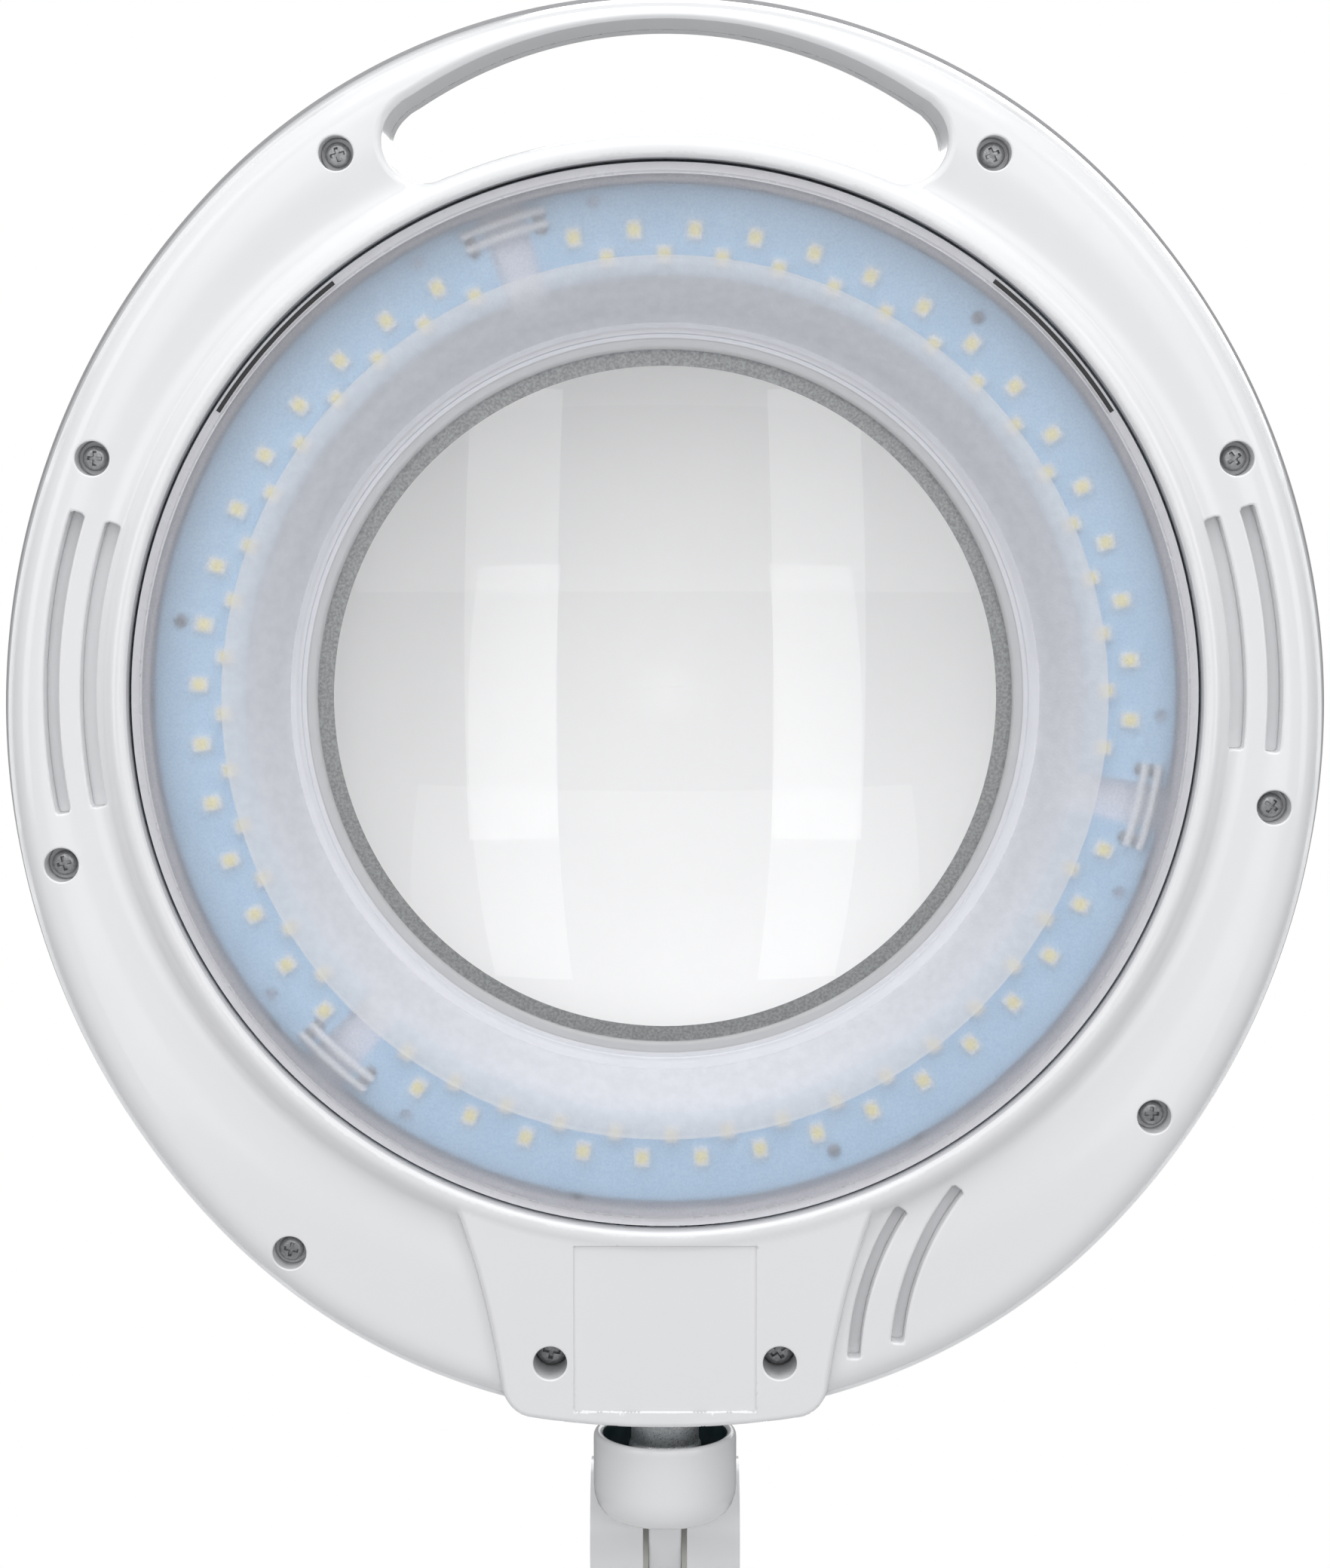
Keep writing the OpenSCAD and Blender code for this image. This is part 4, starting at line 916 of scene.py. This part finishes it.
cup_profile = [(4.1, -146), (11.3, -146), (11.7, -145.6), (11.7, -140.3), (11.8, -139.7), (12.1, -139.35),
    (12.5, -139.22), (12.9, -139.25), (13.25, -139.45), (13.45, -139.9), (13.5, -140.6), (13.5, -149.5),
    (13.35, -151.2), (12.8, -152.9), (11.9, -154.3), (10.7, -155.2), (9.4, -155.48), (8.5, -155.48),
    (8.2, -155.2), (8.2, -150), (4.1, -150)]
# the cup's inside floor and wall (first four profile faces) take the near-black painted shade
cup = lathe_z([(r, stud_z(z)) for r, z in cup_profile], 128, [1] * 4 + [0] * 17, at=(0, STUD_Y))


def convex(points):
    """The convex hull of 2-D points, anticlockwise."""
    points = [Vector(p) for p in points]
    hull = [points[i] for i in geometry.convex_hull_2d(points)]
    area = sum(a.x * b.y - b.x * a.y for a, b in zip(hull, hull[1:] + hull[:1]))
    return [tuple(p) for p in (hull if area > 0 else hull[::-1])]


def slab(outline, x0, x1, edge, count=160, hole=None):
    """A plate between x0 and x1 whose outline is drawn in (y, z), with rounded edges.

    hole is the (y, z) centre and radius of a bore right through it.
    """
    loop = resampled(np.array(outline), count)
    n = out_normals(loop)
    form = Form()
    steps = [(x0, 1.0), (x0 + 0.3 * edge, 0.3), (x0 + edge, 0.0), (x1 - edge, 0.0),
        (x1 - 0.3 * edge, 0.3), (x1, 1.0)]
    rings = [[(x, *(p - q * inset * edge)) for p, q in zip(loop, n)] for x, inset in steps]
    if hole:
        centre, r = np.array(hole[0]), hole[1]
        bore = [centre + r * (p - centre) / np.linalg.norm(p - centre) for p in loop]
        rings += [[(x, *p) for p in bore] for x in (x1, x0)]
    form.loft(rings, closed=hole is not None)
    return form


def ring_points(at, r, count=48):
    return [tuple(p) for p in circle_loop(at, r, count)]


lug_corners = [p for y in (9.9, 10.1) for z in (-154, -146.8)
    for p in ring_points((STUD_Y + y, stud_z(z)), 0.9, 24)]
lug = slab(convex(ring_points((TILT.x, TILT.y), 11) + lug_corners), -3.2, 3.2, 0.6,
    hole=((TILT.x, TILT.y), BOLT_BORE_R))
piece("cup_round", cup, "swivel", [enamel, cup_inside_painted_shade], "swivel_cup", sharp=50)
piece("cup_lug", lug, "swivel", enamel, sharp=50)

stud_profile = [(0, -126.6), (6.2, -126.6), (6.4, -127), (6.4, -140.6), (6.5, -141.2), (6.75, -141.55),
    (6.85, -141.9), (6.85, -144.6), (6.6, -144.95), (4, -145), (3.95, -155), (3.5, -155.2), (0, -155.2)]
stud = lathe_z([(r, stud_z(z)) for r, z in stud_profile], 96, full=False, at=(0, STUD_Y))
bore = lathe_z([(r, stud_z(z)) for r, z in [(0, -112.6), (4.4, -112.6), (4.6, -112.9), (4.6, -126.6),
    (0, -126.6)]], 64, full=False, at=(0, STUD_Y))
piece("stud_turned", stud.join(bore), "head", zinc, "swivel_stud", sharp=40)

# ---- springs, screw and knob


def tube(path, r, sides):
    """A round wire along a path of (x, y, z) points, with closed ends."""
    path = [Vector(p) for p in path]
    form = Form()
    loops, side = [], None
    for i, p in enumerate(path):
        ahead = (path[min(i + 1, len(path) - 1)] - path[max(i - 1, 0)]).normalized()
        if side is None:
            side = ahead.orthogonal().normalized()
        side = (side - ahead * side.dot(ahead)).normalized()
        up = ahead.cross(side)
        loops.append([tuple(p + (side * cos(t) + up * sin(t)) * r)
            for t in (2 * pi * k / sides for k in range(sides))])
    return form.loft(loops)


ARM_LEN, PIVOT_GAP, SPRING_AT = 330.0, 18.0, 190.0
COIL_R, COIL_PITCH, COIL_START, COIL_END, WIRE_R, HOOK_R = 2.75, 1.24, 44.0, 149.0, 0.6, 3
SPRING_X = 9.8
LOWER_DIR = Vector((sin(radians(45)), cos(radians(45))))
UPPER_DIR = Vector((-sin(radians(52)), cos(radians(52))))
BASE_C = Vector((0, 86))
LOWER_PAIR = PIVOT_GAP * Vector((-cos(radians(35)), sin(radians(35))))
UPPER_PAIR = PIVOT_GAP * Vector((cos(radians(52)), sin(radians(52))))
A0, B0 = BASE_C - LOWER_PAIR / 2, BASE_C + LOWER_PAIR / 2
ELBOW_C = BASE_C + ARM_LEN * LOWER_DIR + Vector((4, 40))
C0, D0 = ELBOW_C - UPPER_PAIR / 2, ELBOW_C + UPPER_PAIR / 2


def spring_form(start, end):
    """Two close-wound tension springs side by side, hooked on pins at start and end."""
    form = Form()
    axis = (end - start).normalized()
    reach = (end - start).length
    up = Vector((0, axis.x, axis.y))
    across = Vector((0, -axis.y, axis.x))
    turns = int((COIL_END - COIL_START) / COIL_PITCH)
    for x in (-SPRING_X, SPRING_X):
        origin = Vector((x, start.x, start.y))

        def at(along, side, out):
            return origin + up * along + across * side + Vector((out, 0, 0))

        path = [at(HOOK_R * cos(t), HOOK_R * sin(t), 0.25 * (t / 6 - 0.5))
            for t in np.linspace(1.0, 2 * pi, 20)]
        path += [at(a, 0, 0.12 + (COIL_R - 0.12) * s) for a, s in ((8, 0), (20, 0), (34, 0), (40, 0.0),
            (42.5, 0.25), (43.6, 0.8))]
        for k in range(turns * 14):
            t = 2 * pi * k / 14
            path.append(at(COIL_START + COIL_PITCH * k / 14, COIL_R * sin(t), COIL_R * cos(t)))
        top = COIL_START + COIL_PITCH * turns
        path += [at(a, 0, COIL_R * s) for a, s in ((top + 0.4, 0.8), (top + 1.5, 0.25), (top + 4, 0),
            (top + 12, 0), (reach - 12, 0))]
        path += [at(reach - HOOK_R * cos(t), HOOK_R * sin(t), 0.25 * (t / 6))
            for t in np.linspace(0, 2 * pi - 1.0, 20)]
        form.join(tube(path, WIRE_R, 7))
    return form


def arm_spring(name, node, start, end):
    obj = piece(name, spring_form(start, end), None, spring_steel, node, sharp=60,
        soft=False)
    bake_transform(obj)


spring_steel = material("spring_steel", (0.42, 0.43, 0.45), 0.32, mottle=(2, (0.3, 0.31, 0.33), 0.8),
    spread=0.08, grain=(0.5, 0.01), Metallic=1.0)
arm_spring("lower_coil_springs", "lower_springs", B0, A0 + SPRING_AT * LOWER_DIR)
arm_spring("upper_coil_springs", "upper_springs", D0, C0 + SPRING_AT * UPPER_DIR)

low, high = node_box("clamp_screw")
THREAD_TOP, THREAD_PITCH = -50.0, 2.0
loops = []
for k in range(int((THREAD_TOP - low.z) / 0.25) + 1):
    z = low.z + 0.25 * k
    fade = min(1, (z - low.z) / 2, (THREAD_TOP - z) / 2)
    loop = []
    for i in range(40):
        a = 2 * pi * i / 40
        phase = ((z / THREAD_PITCH - a / (2 * pi)) % 1)
        depth = 0.85 * abs(2 * phase - 1)
        r = 4.98 - max(0, depth - 0.12) * (0.35 + 0.65 * max(0, fade))
        loop.append((r * cos(a), r * sin(a), z))
    loops.append(loop)
for r, down in ((4.9, 11.3), (4.5, 11.05), (3.95, 10.95), (3.95, 0.7), (3.4, 0.1)):
    loops.append([(*p, high.z - down) for p in circle_loop((0, 0), r, 40)])
piece("clamp_screw_thread", Form().loft(loops), "screw", zinc, "clamp_screw", sharp=50)


def lobed_sd(x, y):
    """Signed distance to the outline of the five-lobed knob."""
    d = np.hypot(x, y) - 15
    for k in range(5):
        a = 2 * pi * k / 5
        d = soft_min(d, np.hypot(x - 14 * cos(a), y - 14 * sin(a)) - 7, 2.2)
    return d + 0.35


lobed = contour(lobed_sd, np.zeros(2), 200)
n = out_normals(lobed)
knob = Form()
rings = []
for z, inset in ((-126, 2.4), (-125.75, 1.4), (-125.2, 0.6), (-124.4, 0.15), (-123.4, 0.0), (-112.9, 0.0),
        (-112.0, 0.2), (-111.4, 0.8), (-111.05, 1.8)):
    rings.append([(*(p - q * inset), z) for p, q in zip(lobed, n)])
for r, z in ((14.2, -110.8), (13.9, -110.2), (13.6, -108.8), (13.2, -108.3), (12.4, -108.02)):
    rings.append([(r * cos(atan2(p[1], p[0])), r * sin(atan2(p[1], p[0])), z) for p in lobed])
piece("clamp_knob_lobed", knob.loft(rings), "screw", black_plastic, "clamp_knob",
    sharp=50)

# ---- button and gland

low, high = node_box("power_button")
back_d = high.y - FACE_Y
button_profile = [(0, 4.6), (5.4, 4.6), (5.48, 4.2), (5.48, 0.9), (5.3, 0.4), (4.9, 0.08), (4.4, 0.02),
    (3.4, 0.25), (1.8, 0.5), (0, 0.58)]
button = lathe_y([(r, back_d - d) for r, d in button_profile], 96, full=False, at=(0, BUTTON_Z))
stem = lathe_y([(0, 20.5), (1.9, 20.5), (2, 20.7), (2, 26), (0, 26)], 32, full=False, at=(0, BUTTON_Z))
piece("button_dished", button.join(stem), "button", grey_button, "power_button", sharp=35)

low, high = node_box("cord_gland")
gz = (low.z + high.z) / 2
gland_profile = [(0, 11.02), (2.9, 11.02), (2.95, 12.0), (3.8, 12.05), (3.8, 12.7), (3.5, 12.9),
    (3.45, 13.2), (3.7, 13.4), (3.65, 13.9), (3.38, 14.1), (3.35, 14.4), (3.55, 14.6), (3.5, 15.1),
    (3.28, 15.3), (3.28, 15.6), (3.4, 15.8), (3.35, 16.5), (3.1, 16.95), (1.2, 16.98), (1.1, 16.2),
    (0, 16.1)]
gland = lathe(gland_profile, 48, full=False, place=lambda a, b, y: (a, y, gz + b))
piece("gland_ribbed", gland, "base", rubber, "cord_gland", sharp=35)

# ---- CAD parts that stay, with finish


# these two get open edges when their flat faces are joined
NOT_JOINED = ("base_bracket", "lens_cover")


def finish_node(node, m, edge, angle=35):
    """Gives a CAD node its material, smooth faces and edges bevelled by edge millimetres."""
    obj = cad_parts[node]
    for one in obj.material_slots:
        one.material = m
    obj.data.polygons.foreach_set("use_smooth", [True] * len(obj.data.polygons))
    if edge and node not in NOT_JOINED:
        flat = obj.modifiers.new("flat", "DECIMATE")
        flat.decimate_type = "DISSOLVE"
        flat.angle_limit = radians(0.6)
    if edge:
        bevel = obj.modifiers.new("bevel", "BEVEL")
        bevel.limit_method, bevel.angle_limit = "ANGLE", radians(angle)
        bevel.width, bevel.segments = edge * MM, 3
    weighted = obj.modifiers.new("weighted", "WEIGHTED_NORMAL")
    weighted.keep_sharp = False


for nodes, m, edge in (("upper_cover_left upper_cover_right lower_cover_left lower_cover_right",
        abs_white, 0), ("arm_fork", abs_white, 2.2), ("elbow_caps", abs_white, 0.9),
        ("bolt_caps", abs_white, 0.3), ("lens_cover", cover_white, 0.25), ("clamp_frame", enamel, 1.0),
        ("elbow_bracket", enamel, 0.5), ("base_bracket", enamel, 0.4), ("jaw_rubber", rubber, 0.5),
        ("pad_rubber", rubber, 0.4), ("lens_gasket", rubber, 0), ("pressure_pad", zinc, 0.5),
        ("pivot_block", zinc, 0.4), ("tilt_bolt tilt_nut stud_nut", zinc, 0.3),
        ("upper_spring_pin lower_spring_pin", zinc, 0.2), ("stud_washer", zinc, 0.15),
        ("post_bush", nylon, 0.4), ("tilt_washers", nylon, 0.15),
        ("upper_bar upper_link_bar lower_bar lower_link_bar", bright_steel, 0.4),
        ("base_pins elbow_pins fork_pins", bright_steel, 0.25), ("cover_hinge_pin", bright_steel, 0.2),
        ("base_post", bright_steel, 0), ("upper_cover_screws lower_cover_screws", dark_screw, 0.2),
        ("lens_ring led_carrier", plate_white, 0), ("led_board_1 led_board_2 led_board_3", board_blue, 0),
        ("board_leads", wire_white, 0), ("driver_board", fibre_board, 0),
        ("driver_parts switch_body", black_plastic, 0.3)):
    for node in nodes.split():
        finish_node(node, m, edge)

# hinge lugs of the cover on the dome, which are part of the back housing
low, high = node_box("cover_hinge_pin")
hy, hz = (low + high).yz / 2
lugs = Form()
for x in (-9, 9):
    outline = convex(ring_points((hy, hz), 3.2, 40) + [(FACE_Y + 38.5, hz - 3.2),
        (FACE_Y + 38.5, hz + 3.2)])
    lugs.join(slab(outline, x - 2, x + 2, 0.5, 72))
piece("hinge_lugs", lugs, "head", abs_white, sharp=40)

# ---- camera, light and floor

scene = bpy.context.scene
camera = bpy.data.objects.new("camera", bpy.data.cameras.new("camera"))
scene.collection.objects.link(camera)
camera.data.sensor_fit = "VERTICAL"
camera.data.sensor_height = 36
camera.data.lens = 76.8
camera.data.clip_start, camera.data.clip_end = 0.01, 20
camera.location = Vector(head_point(0, -600, 46.5)) * MM
aim = Vector(head_point(0, 0, -14.5)) * MM
camera.rotation_euler = (aim - camera.location).to_track_quat("-Z", "Y").to_euler()
scene.camera = camera

world = bpy.data.worlds.new("studio")
world.use_nodes = True
scene.world = world
tree, link = world.node_tree, world.node_tree.links.new
tree.nodes["Background"].inputs["Color"].default_value = (0.97, 0.98, 1.0, 1)
around = tree.nodes.new("ShaderNodeTexCoord")
split, glow = tree.nodes.new("ShaderNodeSeparateXYZ"), tree.nodes.new("ShaderNodeMapRange")
for key, value in (("From Min", -0.7), ("From Max", 0.9), ("To Min", 0.16), ("To Max", 0.46)):
    glow.inputs[key].default_value = value
link(around.outputs["Generated"], split.inputs["Vector"])
link(split.outputs["Z"], glow.inputs["Value"])
link(glow.outputs["Result"], tree.nodes["Background"].inputs["Strength"])
seen = tree.nodes.new("ShaderNodeBackground")
seen.inputs["Color"].default_value = (1, 1, 1, 1)
path, mix = tree.nodes.new("ShaderNodeLightPath"), tree.nodes.new("ShaderNodeMixShader")
link(path.outputs["Is Camera Ray"], mix.inputs["Fac"])
link(tree.nodes["Background"].outputs["Background"], mix.inputs[1])
link(seen.outputs["Background"], mix.inputs[2])
link(mix.outputs["Shader"], tree.nodes["World Output"].inputs["Surface"])
scene.view_settings.view_transform = "Standard"


def softbox(name, place, aim_at, size, watts):
    light = bpy.data.lights.new(name, "AREA")
    light.shape, light.energy = "RECTANGLE", watts
    light.size, light.size_y = size[0] * MM, size[1] * MM
    lamp = bpy.data.objects.new(name, light)
    scene.collection.objects.link(lamp)
    lamp.location = Vector(place) * MM
    lamp.rotation_euler = (Vector(aim_at) * MM - lamp.location).to_track_quat("-Z", "Y").to_euler()


HEAD = head_point(0, 0, 0)
softbox("box_left", head_point(-750, -700, 250), HEAD, (450, 900), 2.0)
softbox("box_right", head_point(750, -700, 250), HEAD, (450, 900), 1.9)
softbox("box_top", head_point(0, -300, 900), HEAD, (1100, 700), 5)
softbox("fill_front", head_point(0, -1300, 700), HEAD, (1500, 1300), 4.2)
softbox("box_back", head_point(300, 900, 500), head_point(0, 100, -300), (900, 900), 6)

softbox("strip_left", head_point(-172, -700, 40), HEAD, (105, 520), 0.24)
softbox("strip_right", head_point(172, -700, 40), HEAD, (105, 520), 0.24)


floor_form = lathe_z([(0, -127.2), (700, -127.2), (1250, -127.2), (1330, -127.6), (1360, -128.6),
    (1350, -131), (0, -131)], 96, full=False)
floor = piece("floor", floor_form, None, material("pale_floor", (0.84, 0.84, 0.84), 0.6,
    mottle=(60, (0.82, 0.82, 0.82), 0.6), grain=(3, 0.02)), sharp=40)
